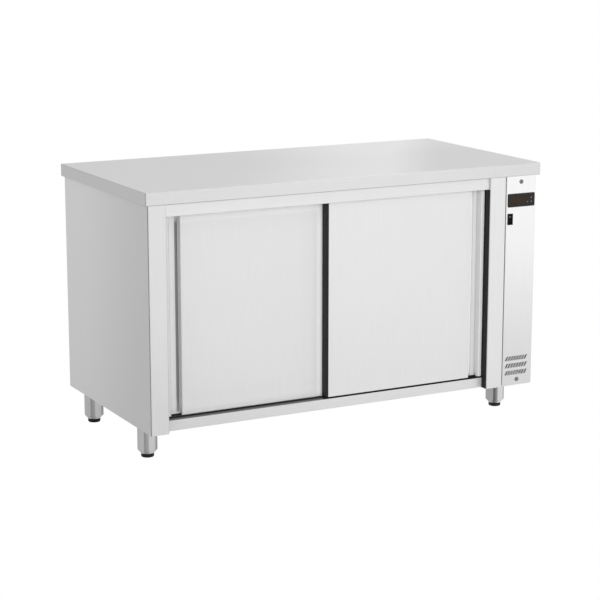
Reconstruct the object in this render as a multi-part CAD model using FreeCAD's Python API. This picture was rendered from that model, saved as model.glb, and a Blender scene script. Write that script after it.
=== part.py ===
import FreeCAD
import Part
import math
import os

# Heated plate cabinet with two sliding doors, in millimetres.
# The origin is on the floor under the middle of the worktop. X runs to the right, Y to the back, Z up.

# Overall sizes
WIDTH = 1400.0
DEPTH = 700.0
HEIGHT = 840.0
FOOT_HEIGHT = 98.0
OVERHANG_LEFT = 6.0
OVERHANG_RIGHT = 14.0
OVERHANG_FRONT = 1.0
OVERHANG_BACK = 16.0

# Sheet metal
SHEET = 1.2
BEND = 2.0
CLEARANCE = 0.3
RUNNING_FIT = 0.05
OVERRUN = 5.0
SAME_POINT = 0.00001

# Worktop
TOP_EDGE = 40.0
TOP_SHEET = 1.5
TOP_RETURN = 25.0
TOP_BEND = 2.2

# Body walls
LEFT_WALL = 40.0
BACK_WALL = 34.0
CEILING_WALL = 30.0
RIGHT_INSULATION = 30.0
POST_WIDTH = 60.0
POST_TURN_IN = 20.0
POST_OUTER_RETURN = 49.0
BACK_FLANGE = 15.0
PAN_RIM = 18.0
LINING_FLANGE = 10.0

# Rails round the door opening
TOP_RAIL_HEIGHT = 38.0
TOP_RAIL_SETBACK = 8.0
TOP_RAIL_FLANGE = 18.0
TOP_RAIL_LIP = 16.0
TOP_RAIL_SEAM = 0.5
BOTTOM_RAIL_HEIGHT = 33.0

# Doors
DOOR_SETBACK = 27.0
DOOR_THICKNESS = 22.0
DOOR_GAP = 2.0
DOOR_REAR_GAP = 4.0
DOOR_OVERLAP = 39.5
DOOR_BOTTOM_GAP = 6.0
DOOR_TOP_GAP = 4.8
DOOR_SIDE_GAP = 1.5
DOOR_AJAR = 12.0
LIP_WIDTH = 12.0
SLANT_WIDTH = 9.0
CHANNEL_DEPTH = 14.0
CHANNEL_FLOOR = 14.5
FINGER_SLOT_WIDTH = 15.0
FINGER_SLOT_DEPTH = 5.0

# Strips on the doors and posts
JAMB_STRIP = 2.0
JAMB_STRIP_SETBACK = 2.0
LEFT_STRIP_SETBACK = 8.0
JAMB_STRIP_REAR_GAP = 0.5
BEAD_HEIGHT = 1.2
EDGE_STRIP = 2.0
EDGE_STRIP_COVER = 10.3
EDGE_STRIP_PROUD = 1.4
FIN_REACH = 1.4
FIN_WIDTH = 3.0

# Roller track and hangers
TRACK_FRONT_MARGIN = 0.5
LEDGE_DROP = 24.0
WEB_OFFSET = 10.5
LEDGE_EDGE = 1.5
ROLLER_RADIUS = 9.0
ROLLER_TREAD = 5.5
ROLLER_FLANGE_RADIUS = 11.0
ROLLER_FLANGE = 1.5
ROLLER_FLANGE_GAP = 0.3
HANGER_SHEET = 2.0
HANGER_WIDTH = 30.0
HANGER_OFFSET = 4.3
HANGER_DEPTH = 34.0
HANGER_INSET = 80.0
HANGER_SHOULDER = 12.0
AXLE_RADIUS = 2.5
AXLE_HEAD_RADIUS = 4.2
AXLE_HEAD = 1.2
SPACER_RADIUS = 4.0
CHANNEL_KEPT_CLEAR = 7.0
STOP_GAP = 0.5
STOP_LENGTH = 20.0
STOP_HEIGHT = 13.0

# Guide under the doors
GUIDE_BASE = 2.0
GUIDE_RIB = 3.0
GUIDE_RIB_HEIGHT = 7.0
GROOVE_WIDTH = 5.6
GROOVE_DEPTH = 10.0
SHOE_LENGTH = 36.0
SHOE_HEIGHT = 5.5
SHOE_INSET = 75.0

# Shelf and its uprights
SHELF_HEIGHT = 309.0
SHELF_EDGE = 30.0
SHELF_LIP = 10.0
SHELF_FRONT_GAP = 10.0
SHELF_BACK_GAP = 8.0
SHELF_SIDE_GAP = 2.0
UPRIGHT_WIDTH = 26.0
UPRIGHT_DEPTH = 10.0
UPRIGHT_INSET = 90.0
UPRIGHT_TOP_GAP = 20.0
SLOT_PITCH = 60.0
SLOT_FIRST = 45.0
SLOT_WIDTH = 14.0
SLOT_HEIGHT = 4.0
CLIP_LENGTH = 12.0
CLIP_THICKNESS = 2.0
CLIP_TONGUE = 3.0

# Feet
FOOT_RADIUS = 31.0
FOOT_WALL = 2.0
FOOT_CHAMFER_HEIGHT = 12.0
FOOT_TIP_RADIUS = 20.5
FOOT_TIP_HEIGHT = 12.0
FOOT_TIP_ROUND = 2.5
FOOT_PLATE = 3.0
FOOT_COLLAR_HEIGHT = 20.0
FOOT_STEM_RADIUS = 12.0
FOOT_STEM_TOP = 72.0
FOOT_INSET_SIDE = 37.0
FOOT_INSET_RIGHT = 65.0
FOOT_INSET_FRONT = 119.0
FOOT_INSET_BACK = 119.0

# Control bay
CONTROL_WIDTH = 115.0
CONTROL_GROOVE = 3.5
FASCIA_SETBACK = 2.0
FASCIA_SHEET = 1.5
FASCIA_RETURN = 12.0
FASCIA_LIP = 3.0
FASCIA_CORNER = 8.0
COVER_FLANGE = 10.0
SCREW_RADIUS = 7.5
SCREW_HEAD = 2.4
SCREW_STEM = 2.5
SCREW_STEM_LENGTH = 10.0
SCREW_RECESS = 1.0
SCREW_RECESS_RADIUS = 2.4
SCREW_END_INSET = 19.0
BEZEL_WIDTH = 103.0
BEZEL_HEIGHT = 44.0
BEZEL_TOP_INSET = 57.0
BEZEL_LEFT_INSET = 6.5
BEZEL_PROUD = 2.5
BEZEL_ROUND = 3.0
CASE_WIDTH = 94.0
CASE_HEIGHT = 37.0
CASE_DEPTH = 56.0
WINDOW_WIDTH = 58.0
WINDOW_HEIGHT = 28.0
WINDOW_INSET = 9.0
WINDOW_DEPTH = 1.6
KEY_WIDTH = 9.0
KEY_HEIGHT = 7.0
KEY_LENGTH = 4.0
KEY_PROUD = 0.5
KEY_PITCH_X = 14.6
KEY_PITCH_Z = 13.5
KEY_RIGHT_INSET = 14.0
KEY_TOP_INSET = 15.5
KEY_ROUND = 1.0
KEY_WELL = 5.0
ROCKER_WIDTH = 20.0
ROCKER_HEIGHT = 37.0
ROCKER_TOP_INSET = 122.0
ROCKER_RIM = 2.5
ROCKER_PROUD = 1.6
ROCKER_FACE = 0.9
ROCKER_END_GAP = 1.3
ROCKER_BODY_DEPTH = 24.0
ROCKER_TILT = 9.0
ROCKER_THICKNESS = 6.0
ROCKER_PIN_RADIUS = 1.5
VENT_ROWS = 3
VENT_SLOTS = 8
VENT_PITCH_X = 10.6
VENT_PITCH_Z = 24.5
VENT_SLOT_WIDTH = 6.0
VENT_SLOT_HEIGHT = 14.5
VENT_SLANT = 8.5
VENT_FIRST_X = 8.8
VENT_FIRST_Z = 36.0

# Heater, fan and duct in the control bay
DUCT_DEPTH = 50.0
DUCT_LENGTH = 420.0
DUCT_HEIGHT = 480.0
DUCT_BOTTOM = 25.0
DUCT_FLANGE = 12.0
FAN_HEIGHT = 170.0
FAN_RADIUS = 70.0
FAN_HUB_RADIUS = 12.0
FAN_WIDTH = 30.0
FAN_PLATE = 1.5
FAN_RING = 8.0
FAN_BLADES = 24
FAN_BLADE_SHEET = 1.0
FAN_BLADE_INNER = 46.0
FAN_BLADE_OUTER = 67.0
FAN_BLADE_BOW = 3.5
FAN_BLADE_LEAN = 14.0
FAN_WALL_GAP = 6.0
SHAFT_RADIUS = 4.0
SHAFT_DEPTH = 26.0
MOTOR_RADIUS = 42.0
MOTOR_LENGTH = 66.0
MOTOR_FLANGE_RADIUS = 52.0
MOTOR_FLANGE = 3.0
MOTOR_END_RADIUS = 18.0
MOTOR_END = 8.0
RING_RADIUS = 92.0
RING_TUBE = 4.2
RING_LEG_ANGLE = 14.0
RING_LEG_OUT = 24.0
RING_SIDES = 8
INTAKE_RADIUS_INNER = 22.0
INTAKE_RINGS = 3
INTAKE_RING_PITCH = 14.0
INTAKE_SLOT = 6.0
INTAKE_SLOTS = 8
INTAKE_SLOT_SHARE = 0.72
OUTLET_WIDTH = 6.0
OUTLET_HEIGHT = 44.0
OUTLET_PITCH = 66.0
OUTLET_COUNT = 6
OUTLET_INSET = 50.0
CUTOUT_RADIUS = 9.0
CUTOUT_LENGTH = 14.0
CUTOUT_FLANGE_LENGTH = 34.0
CUTOUT_FLANGE_SHEET = 1.5
CUTOUT_INSET = 60.0
PROBE_RADIUS = 3.0
PROBE_LENGTH = 60.0
PROBE_DROP = 60.0
PROBE_CLIP = 3.5
PROBE_CLIP_WIDTH = 8.0
TERMINAL_POLES = 5
TERMINAL_PITCH = 12.0
TERMINAL_DEPTH = 24.0
TERMINAL_HEIGHT = 20.0
TERMINAL_STEP = 8.0
TERMINAL_BACK_GAP = 40.0
TERMINAL_SCREW_RADIUS = 2.5
TERMINAL_SCREW_DEPTH = 3.0
GLAND_RADIUS = 9.0
GLAND_NUT_RADIUS = 12.0
GLAND_NUT_LENGTH = 7.0
GLAND_DOME_LENGTH = 6.0
GLAND_BORE = 4.5
GLAND_INNER_LENGTH = 12.0
GLAND_HEIGHT = 60.0
GLAND_FIT = 0.1

# Places that follow from the sizes above
HALF_WIDTH = WIDTH / 2
LEFT = OVERHANG_LEFT - HALF_WIDTH
RIGHT = HALF_WIDTH - OVERHANG_RIGHT
FRONT = OVERHANG_FRONT - DEPTH / 2
BACK = DEPTH / 2 - OVERHANG_BACK
BASE = FOOT_HEIGHT
TOP = HEIGHT - TOP_EDGE
CONTROL_LEFT = RIGHT - CONTROL_WIDTH
RIGHT_POST_OUT = CONTROL_LEFT - CONTROL_GROOVE
RIGHT_POST_IN = RIGHT_POST_OUT - POST_WIDTH
LEFT_POST_IN = LEFT + POST_WIDTH
FRONT_DOOR_Y = FRONT + DOOR_SETBACK
REAR_DOOR_Y = FRONT_DOOR_Y + DOOR_THICKNESS + DOOR_GAP
JAMB_BACK = REAR_DOOR_Y + DOOR_THICKNESS + DOOR_REAR_GAP
FLOOR = BASE + BOTTOM_RAIL_HEIGHT
CEILING = TOP - CEILING_WALL
INNER_LEFT = LEFT + LEFT_WALL
INNER_RIGHT = RIGHT_POST_IN
INNER_BACK = BACK - BACK_WALL
RAIL_BOTTOM = TOP - TOP_RAIL_HEIGHT
DOOR_BOTTOM = FLOOR + DOOR_BOTTOM_GAP
DOOR_TOP = TOP - LEDGE_DROP - DOOR_TOP_GAP - SHEET
LEFT_STOP_X = LEFT_POST_IN + JAMB_STRIP
RIGHT_STOP_X = RIGHT_POST_IN - JAMB_STRIP
LEFT_SHUT_EDGE = LEFT_STOP_X + DOOR_SIDE_GAP
LEFT_DOOR_EDGE = LEFT_SHUT_EDGE + DOOR_AJAR
RIGHT_DOOR_EDGE = RIGHT_STOP_X - DOOR_SIDE_GAP
DOOR_WIDTH = (RIGHT_DOOR_EDGE - LEFT_SHUT_EDGE + DOOR_OVERLAP) / 2
CHANNEL_WIDTH = LIP_WIDTH + SLANT_WIDTH + CHANNEL_FLOOR + FINGER_SLOT_WIDTH
DOOR_TRAVEL = RIGHT_DOOR_EDGE - LEFT_SHUT_EDGE - DOOR_WIDTH - CHANNEL_WIDTH - CHANNEL_KEPT_CLEAR
SKIN_DEPTH = DOOR_THICKNESS - SHEET
LEDGE = TOP - LEDGE_DROP
AXLE_Z = LEDGE + ROLLER_RADIUS + CLEARANCE
FASCIA_Y = FRONT + FASCIA_SETBACK
BEZEL_Y = FASCIA_Y - BEZEL_PROUD
DUCT_BACK = INNER_RIGHT + SHEET + DUCT_DEPTH
FAN_Y = (JAMB_BACK + INNER_BACK) / 2
FAN_Z = FLOOR + FAN_HEIGHT
FAN_X = INNER_RIGHT + SHEET + FAN_WALL_GAP
SHELF_TOP = FLOOR + SHELF_HEIGHT
UPRIGHT_TOP = CEILING - UPRIGHT_TOP_GAP
SLOT_COUNT = math.floor((UPRIGHT_TOP - FLOOR - SLOT_FIRST - SLOT_HEIGHT) / SLOT_PITCH) + 1


def along_z(a, b):
    """Puts a plan outline's point in space."""
    return FreeCAD.Vector(a, b, 0)


def along_x(a, b):
    """Puts the point of an outline seen from the right, with a to the back and b up, in space."""
    return FreeCAD.Vector(0, a, b)


def along_y(a, b):
    """Puts the point of an outline seen from the front, with a to the right and b up, in space."""
    return FreeCAD.Vector(a, 0, b)


def outline(points, radii, place=along_z):
    """Makes a closed face whose corners are rounded, each by its own radius."""
    corners = [FreeCAD.Vector(a, b, 0) for a, b in points]
    count = len(corners)
    ends = []
    for index, corner in enumerate(corners):
        radius = radii[index]
        to_last = (corners[index - 1] - corner).normalize()
        to_next = (corners[(index + 1) % count] - corner).normalize()
        if radius > 0:
            half = to_last.getAngle(to_next) / 2
            reach = radius / math.tan(half)
            middle_line = (to_last + to_next).normalize()
            centre = corner + middle_line * (radius / math.sin(half))
            ends.append((corner + to_last * reach, centre - middle_line * radius, corner + to_next * reach))
        else:
            ends.append((corner, None, corner))
    edges = []
    for index, (start, middle, end) in enumerate(ends):
        if middle is not None:
            edges.append(Part.Arc(place(start.x, start.y), place(middle.x, middle.y), place(end.x, end.y)).toShape())
        following = ends[(index + 1) % count][0]
        if end.distanceToPoint(following) > SAME_POINT:
            edges.append(Part.LineSegment(place(end.x, end.y), place(following.x, following.y)).toShape())
    return Part.Face(Part.Wire(edges))


def plain_outline(points, place=along_z):
    """Makes a closed face with sharp corners."""
    return outline(points, [0] * len(points), place)


def prism_z(face, low, high):
    """Raises a plan face from one height to another."""
    return face.translated(FreeCAD.Vector(0, 0, low)).extrude(FreeCAD.Vector(0, 0, high - low))


def prism_x(face, low, high):
    """Draws a side face out from one X to another."""
    return face.translated(FreeCAD.Vector(low, 0, 0)).extrude(FreeCAD.Vector(high - low, 0, 0))


def prism_y(face, low, high):
    """Draws a front face out from one Y to another."""
    return face.translated(FreeCAD.Vector(0, low, 0)).extrude(FreeCAD.Vector(0, high - low, 0))


def block(x_low, x_high, y_low, y_high, z_low, z_high):
    """A plain box between two corners."""
    corner = FreeCAD.Vector(x_low, y_low, z_low)
    return Part.makeBox(x_high - x_low, y_high - y_low, z_high - z_low, corner)


def rod(radius, start, end):
    """A cylinder between two points."""
    line = end - start
    return Part.makeCylinder(radius, line.Length, start, line)


def offset_path(path, distance):
    """Moves an open path to its left by a distance, with mitred corners."""
    points = [FreeCAD.Vector(a, b, 0) for a, b in path]
    steps = [(second - first).normalize() for first, second in zip(points, points[1:])]
    sides = [FreeCAD.Vector(-step.y, step.x, 0) for step in steps]
    moved = [points[0] + sides[0] * distance]
    for index in range(1, len(points) - 1):
        joined = sides[index - 1] + sides[index]
        moved.append(points[index] + joined * (2 * distance / joined.dot(joined)))
    moved.append(points[-1] + sides[-1] * distance)
    return [(point.x, point.y) for point in moved]


def turns_left(path):
    """Says for each inner corner of a path whether it turns left."""
    turns = []
    for (a0, b0), (a1, b1), (a2, b2) in zip(path, path[1:], path[2:]):
        turns.append((a1 - a0) * (b2 - b1) - (b1 - b0) * (a2 - a1) > 0)
    return turns


def folded_face(path, sheet, bend, place=along_z):
    """The section of a folded sheet whose outer face follows a path, with the metal on the path's left."""
    outer = [bend if left else bend - sheet for left in turns_left(path)]
    inner = [bend - sheet if left else bend for left in turns_left(path)]
    points = list(path) + offset_path(path, sheet)[::-1]
    return outline(points, [0] + outer + [0, 0] + inner[::-1] + [0], place)


def group(solids):
    """Several solids that share one node."""
    return Part.makeCompound(solids)


def make_worktop():
    """The worktop: a top sheet whose four edges fold down and turn in underneath."""
    half_depth = DEPTH / 2
    skin = block(-HALF_WIDTH, HALF_WIDTH, -half_depth, half_depth, TOP, HEIGHT)
    skin = skin.makeFillet(TOP_BEND, skin.Edges)
    inset = TOP_SHEET
    hollow = block(inset - HALF_WIDTH, HALF_WIDTH - inset, inset - half_depth, half_depth - inset,
                   TOP + inset, HEIGHT - inset)
    mouth = block(TOP_RETURN - HALF_WIDTH, HALF_WIDTH - TOP_RETURN, TOP_RETURN - half_depth,
                  half_depth - TOP_RETURN, TOP - OVERRUN, TOP + inset)
    return skin.cut(hollow).cut(mouth)


def make_worktop_board():
    """The board that stiffens and deadens the worktop, held between its top sheet and its turned-in edges."""
    inset = TOP_SHEET + CLEARANCE
    half_depth = DEPTH / 2
    return block(inset - HALF_WIDTH, HALF_WIDTH - inset, inset - half_depth, half_depth - inset,
                 TOP + TOP_SHEET, HEIGHT - TOP_SHEET)


def make_left_side_panel():
    """The left side, folded round the front to form the post and round the back to a flange."""
    path = [(LEFT + BACK_FLANGE, BACK), (LEFT, BACK), (LEFT, FRONT), (LEFT_POST_IN, FRONT),
            (LEFT_POST_IN, JAMB_BACK), (LEFT_POST_IN - POST_TURN_IN, JAMB_BACK)]
    return prism_z(folded_face(path, SHEET, BEND), BASE, TOP)


def make_right_post():
    """The right post, a folded channel open to the control bay."""
    path = [(RIGHT_POST_IN + POST_TURN_IN, JAMB_BACK), (RIGHT_POST_IN, JAMB_BACK), (RIGHT_POST_IN, FRONT),
            (RIGHT_POST_OUT, FRONT), (RIGHT_POST_OUT, FRONT + POST_OUTER_RETURN)]
    return prism_z(folded_face(path, SHEET, BEND), BASE, TOP)


def make_back_panel():
    """The outer back, between the flanges of the left side and of the control bay's cover."""
    return block(LEFT + BACK_FLANGE, RIGHT - BACK_FLANGE, BACK - SHEET, BACK, BASE, TOP)


def make_base_pan():
    """The bottom pan with its turned-up rim. It reaches forward under the control bay."""
    left = LEFT + SHEET
    right = RIGHT - SHEET
    back = BACK - SHEET
    front = FASCIA_Y + FASCIA_LIP + COVER_FLANGE
    points = [(left, JAMB_BACK), (CONTROL_LEFT, JAMB_BACK), (CONTROL_LEFT, front), (right, front), (right, back),
              (left, back)]
    plan = outline(points, [0, 0, 0, 0, BEND, BEND])
    inside = plan.makeOffset2D(-SHEET)
    return prism_z(plan, BASE, BASE + PAN_RIM).cut(prism_z(inside, BASE + SHEET, BASE + PAN_RIM + OVERRUN))


def make_bottom_rail():
    """The rail under the doors, set back from the posts and turned in at both edges."""
    path = [(JAMB_BACK, FLOOR), (FRONT_DOOR_Y, FLOOR), (FRONT_DOOR_Y, BASE), (JAMB_BACK, BASE)]
    return prism_x(folded_face(path, SHEET, BEND, along_x), LEFT_POST_IN, RIGHT_POST_IN)


def make_top_rail():
    """The rail that hides the roller track."""
    front = FRONT + TOP_RAIL_SETBACK
    path = [(front + TOP_RAIL_FLANGE, TOP), (front, TOP), (front, RAIL_BOTTOM), (front + TOP_RAIL_LIP, RAIL_BOTTOM)]
    return prism_x(folded_face(path, SHEET, BEND, along_x), LEFT_POST_IN + TOP_RAIL_SEAM,
                   RIGHT_POST_IN - TOP_RAIL_SEAM)


def make_left_lining():
    """The compartment's left wall."""
    return block(INNER_LEFT - SHEET, INNER_LEFT, JAMB_BACK, INNER_BACK, FLOOR - SHEET, CEILING + SHEET)


def ring_slot(radius, middle_angle, x_low, x_high):
    """A curved slot round the fan's axis, cut through the right wall."""
    span = 360.0 / INTAKE_SLOTS * INTAKE_SLOT_SHARE
    axis = FreeCAD.Vector(x_high - x_low, 0, 0)
    centre = FreeCAD.Vector(x_low, FAN_Y, FAN_Z)
    outer = Part.makeCylinder(radius + INTAKE_SLOT / 2, x_high - x_low, centre, axis, span)
    inner = Part.makeCylinder(radius - INTAKE_SLOT / 2, x_high - x_low, centre, axis)
    slot = outer.cut(inner)
    slot.rotate(centre, axis, middle_angle)
    return slot


def make_right_lining():
    """The compartment's right wall, with the fan's intake rings and two columns of warm-air slots."""
    wall = block(INNER_RIGHT, INNER_RIGHT + SHEET, JAMB_BACK, INNER_BACK, FLOOR - SHEET, CEILING + SHEET)
    low = INNER_RIGHT - OVERRUN
    high = INNER_RIGHT + SHEET + OVERRUN
    cuts = []
    for ring in range(INTAKE_RINGS):
        radius = INTAKE_RADIUS_INNER + ring * INTAKE_RING_PITCH
        for number in range(INTAKE_SLOTS):
            cuts.append(ring_slot(radius, 360.0 / INTAKE_SLOTS * (number + ring / 2), low, high))
    for side in (-1, 1):
        middle = FAN_Y + side * (DUCT_LENGTH / 2 - OUTLET_INSET)
        for number in range(OUTLET_COUNT):
            bottom = FLOOR + DUCT_BOTTOM + OUTLET_INSET + number * OUTLET_PITCH
            cuts.append(block(low, high, middle - OUTLET_WIDTH / 2, middle + OUTLET_WIDTH / 2, bottom,
                              bottom + OUTLET_HEIGHT))
    return wall.cut(cuts)


def make_back_lining():
    """The compartment's back wall."""
    return block(INNER_LEFT - SHEET, INNER_RIGHT + SHEET, INNER_BACK, INNER_BACK + SHEET, FLOOR - SHEET,
                 CEILING + SHEET)


def make_floor_lining():
    """The compartment's floor, folded down at the front against the bottom rail."""
    path = [(INNER_BACK, FLOOR), (JAMB_BACK, FLOOR), (JAMB_BACK, FLOOR - LINING_FLANGE)]
    return prism_x(folded_face(path, SHEET, BEND, along_x), INNER_LEFT, INNER_RIGHT)


def make_ceiling_lining():
    """The compartment's ceiling, folded up at the front behind the roller track."""
    path = [(JAMB_BACK, TOP), (JAMB_BACK, CEILING), (INNER_BACK, CEILING)]
    return prism_x(folded_face(path, SHEET, BEND, along_x), INNER_LEFT, INNER_RIGHT)


def make_insulation():
    """Mineral wool slabs in the left wall, the back, the base, the ceiling and round the air duct."""
    gap = CLEARANCE
    inner_low = BASE + SHEET
    slabs = [
        block(LEFT + SHEET * 2 + gap, INNER_LEFT - SHEET, JAMB_BACK + gap, INNER_BACK, FLOOR, TOP - gap),
        block(LEFT + SHEET * 2 + gap, DUCT_BACK, INNER_BACK + SHEET, BACK - SHEET * 2 - gap, FLOOR, TOP - gap),
        block(LEFT + SHEET * 2 + gap, INNER_RIGHT, JAMB_BACK + SHEET * 2 + gap, BACK - SHEET * 2 - gap,
              inner_low, FLOOR - SHEET * 2),
        block(INNER_LEFT + gap, INNER_RIGHT - gap, JAMB_BACK + SHEET * 2, INNER_BACK - gap, CEILING + SHEET,
              TOP - gap),
    ]
    sheet_back = INNER_RIGHT + SHEET
    around = block(sheet_back, sheet_back + RIGHT_INSULATION, JAMB_BACK + gap, INNER_BACK, FLOOR, TOP - gap)
    wide = DUCT_LENGTH / 2 + DUCT_FLANGE + gap
    bottom = FLOOR + DUCT_BOTTOM - DUCT_FLANGE - gap
    top = FLOOR + DUCT_BOTTOM + DUCT_HEIGHT + DUCT_FLANGE + gap
    slabs.append(around.cut(block(sheet_back - OVERRUN, DUCT_BACK + OVERRUN, FAN_Y - wide, FAN_Y + wide,
                                  bottom, top)))
    return group(slabs)


def make_door_track():
    """The double track: a top plate and, for each door, a web with a ledge that its rollers run on."""
    front = FRONT_DOOR_Y + TRACK_FRONT_MARGIN
    track = block(LEFT_POST_IN, RIGHT_POST_IN, front, JAMB_BACK, TOP - SHEET, TOP)
    for face in (FRONT_DOOR_Y, REAR_DOOR_Y):
        middle = face + DOOR_THICKNESS / 2
        path = [(middle - WEB_OFFSET, TOP), (middle - WEB_OFFSET, LEDGE - SHEET), (middle + LEDGE_EDGE, LEDGE - SHEET)]
        track = track.fuse(prism_x(folded_face(path, SHEET, BEND, along_x), LEFT_POST_IN, RIGHT_POST_IN))
    return track.removeSplitter()


def roller_places(outer_edge, side):
    """The X of a door's two rollers, from its outer edge inwards."""
    return [outer_edge + side * HANGER_INSET, outer_edge + side * (DOOR_WIDTH - HANGER_INSET)]


def make_track_stops():
    """Rubber blocks on the ledges that end each door's travel."""
    stops = []
    for face, edge, side in ((REAR_DOOR_Y, LEFT_SHUT_EDGE, 1), (FRONT_DOOR_Y, RIGHT_DOOR_EDGE, -1)):
        middle = face + DOOR_THICKNESS / 2
        outer, inner = roller_places(edge, side)
        shut = outer - side * (ROLLER_RADIUS + STOP_GAP)
        slid = inner + side * (ROLLER_RADIUS + STOP_GAP + DOOR_TRAVEL)
        for start, way in ((shut, -side), (slid, side)):
            low, high = sorted((start, start + way * STOP_LENGTH))
            stops.append(block(low, high, middle - WEB_OFFSET + BEND, middle + LEDGE_EDGE, LEDGE,
                               LEDGE + STOP_HEIGHT))
    return group(stops)


def make_door_guide():
    """The black guide on the bottom rail, with one upright rib for each door."""
    guide = block(LEFT_STOP_X, RIGHT_STOP_X, FRONT_DOOR_Y + TRACK_FRONT_MARGIN, JAMB_BACK, FLOOR, FLOOR + GUIDE_BASE)
    for face in (FRONT_DOOR_Y, REAR_DOOR_Y):
        middle = face + DOOR_THICKNESS / 2
        rib = block(LEFT_STOP_X, RIGHT_STOP_X, middle - GUIDE_RIB / 2, middle + GUIDE_RIB / 2, FLOOR,
                    FLOOR + GUIDE_BASE + GUIDE_RIB_HEIGHT)
        guide = guide.fuse(rib)
    return guide.removeSplitter()


def make_jamb_strip(post_face, side, door_face, setback):
    """A black strip on a post's inner side. Its bead meets the edge of the door that shuts against it."""
    surface = post_face + side * JAMB_STRIP
    low, high = sorted((post_face, surface))
    front = FRONT + setback
    strip = block(low, high, front, JAMB_BACK - JAMB_STRIP_REAR_GAP, BASE, RAIL_BOTTOM)
    behind_rail = block(low - OVERRUN, high + OVERRUN, FRONT_DOOR_Y, JAMB_BACK, BASE - OVERRUN, FLOOR)
    middle = door_face + DOOR_THICKNESS / 2
    bead_low = FLOOR + GUIDE_BASE + GUIDE_RIB_HEIGHT + CLEARANCE
    bead = rod(BEAD_HEIGHT, FreeCAD.Vector(surface, middle, bead_low), FreeCAD.Vector(surface, middle, RAIL_BOTTOM))
    return strip.cut(behind_rail).fuse(bead)


def door_path(skin_width):
    """The front outline of a door from its outer edge, in door width and depth, round its finger channel."""
    channel = LIP_WIDTH + SLANT_WIDTH
    slot = channel + CHANNEL_FLOOR
    face = slot + FINGER_SLOT_WIDTH
    return [(0, SKIN_DEPTH), (0, 0), (LIP_WIDTH, 0), (channel, CHANNEL_DEPTH), (slot, CHANNEL_DEPTH),
            (slot, CHANNEL_DEPTH + FINGER_SLOT_DEPTH), (face, CHANNEL_DEPTH + FINGER_SLOT_DEPTH), (face, 0),
            (skin_width, 0), (skin_width, SKIN_DEPTH)]


def door_placer(outer_edge, side, face):
    """Turns a door's width and depth into plan places. The two doors are mirror images."""
    return lambda width, depth: FreeCAD.Vector(outer_edge + side * width, face + depth, 0)


def hanger_slots(outer_edge, side, face, gap):
    """The two slots that a door's hangers stand in."""
    front = face + DOOR_THICKNESS / 2 + HANGER_OFFSET
    half = HANGER_WIDTH / 2 + gap
    return [block(place - half, place + half, front - gap, front + HANGER_SHEET + gap, DOOR_TOP - HANGER_DEPTH,
                  DOOR_TOP + OVERRUN) for place in roller_places(outer_edge, side)]


def door_groove(outer_edge, side, face):
    """The groove along a door's bottom that the guide's rib runs in."""
    low, high = sorted((outer_edge - side * OVERRUN, outer_edge + side * (DOOR_WIDTH + OVERRUN)))
    middle = face + DOOR_THICKNESS / 2
    return block(low, high, middle - GROOVE_WIDTH / 2, middle + GROOVE_WIDTH / 2, DOOR_BOTTOM - OVERRUN,
                 DOOR_BOTTOM + GROOVE_DEPTH)


def make_door_skin(outer_edge, side, face, skin_width):
    """A door's outer pan, folded round the finger channel and shut at the top and bottom."""
    place = door_placer(outer_edge, side, face)
    path = door_path(skin_width)
    turns = turns_left(path)
    pan = prism_z(outline(path, [0] + [BEND if left else BEND - SHEET for left in turns] + [0], place),
                  DOOR_BOTTOM, DOOR_TOP)
    inner = offset_path(path, SHEET)
    inner[0] = (inner[0][0], SKIN_DEPTH + OVERRUN)
    inner[-1] = (inner[-1][0], SKIN_DEPTH + OVERRUN)
    hollow = prism_z(outline(inner, [0] + [BEND - SHEET if left else BEND for left in turns] + [0], place),
                     DOOR_BOTTOM + SHEET, DOOR_TOP - SHEET)
    cuts = [hollow, door_groove(outer_edge, side, face)]
    cuts += hanger_slots(outer_edge, side, face, CLEARANCE)
    return pan.cut(cuts)


def make_door_liner(outer_edge, side, face, skin_width):
    """A door's rear sheet, which closes its pan."""
    low, high = sorted((outer_edge, outer_edge + side * skin_width))
    return block(low, high, face + SKIN_DEPTH, face + DOOR_THICKNESS, DOOR_BOTTOM, DOOR_TOP)


def make_door_core(outer_edge, side, face, skin_width):
    """A door's insulation, cut as three batts: one in the lip, a thin one behind the channel and the large one."""
    place = door_placer(outer_edge, side, face)
    inset = SHEET + CLEARANCE
    points = offset_path(door_path(skin_width), inset)
    start, corner, lip_end, floor_start, floor_end = points[:5]
    panel_start, panel_corner, far_corner, end = points[6:]
    sections = [
        [start, corner, lip_end, floor_start, (floor_start[0], SKIN_DEPTH)],
        [(floor_start[0] + CLEARANCE, SKIN_DEPTH), (floor_start[0] + CLEARANCE, floor_start[1]), floor_end,
         (floor_end[0], SKIN_DEPTH)],
        [(panel_start[0], SKIN_DEPTH), panel_corner, far_corner, end],
    ]
    cuts = [door_groove(outer_edge, side, face)]
    cuts += hanger_slots(outer_edge, side, face, 0)
    return group([prism_z(plain_outline(section, place), DOOR_BOTTOM + inset, DOOR_TOP - inset).cut(cuts)
                  for section in sections])


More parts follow.
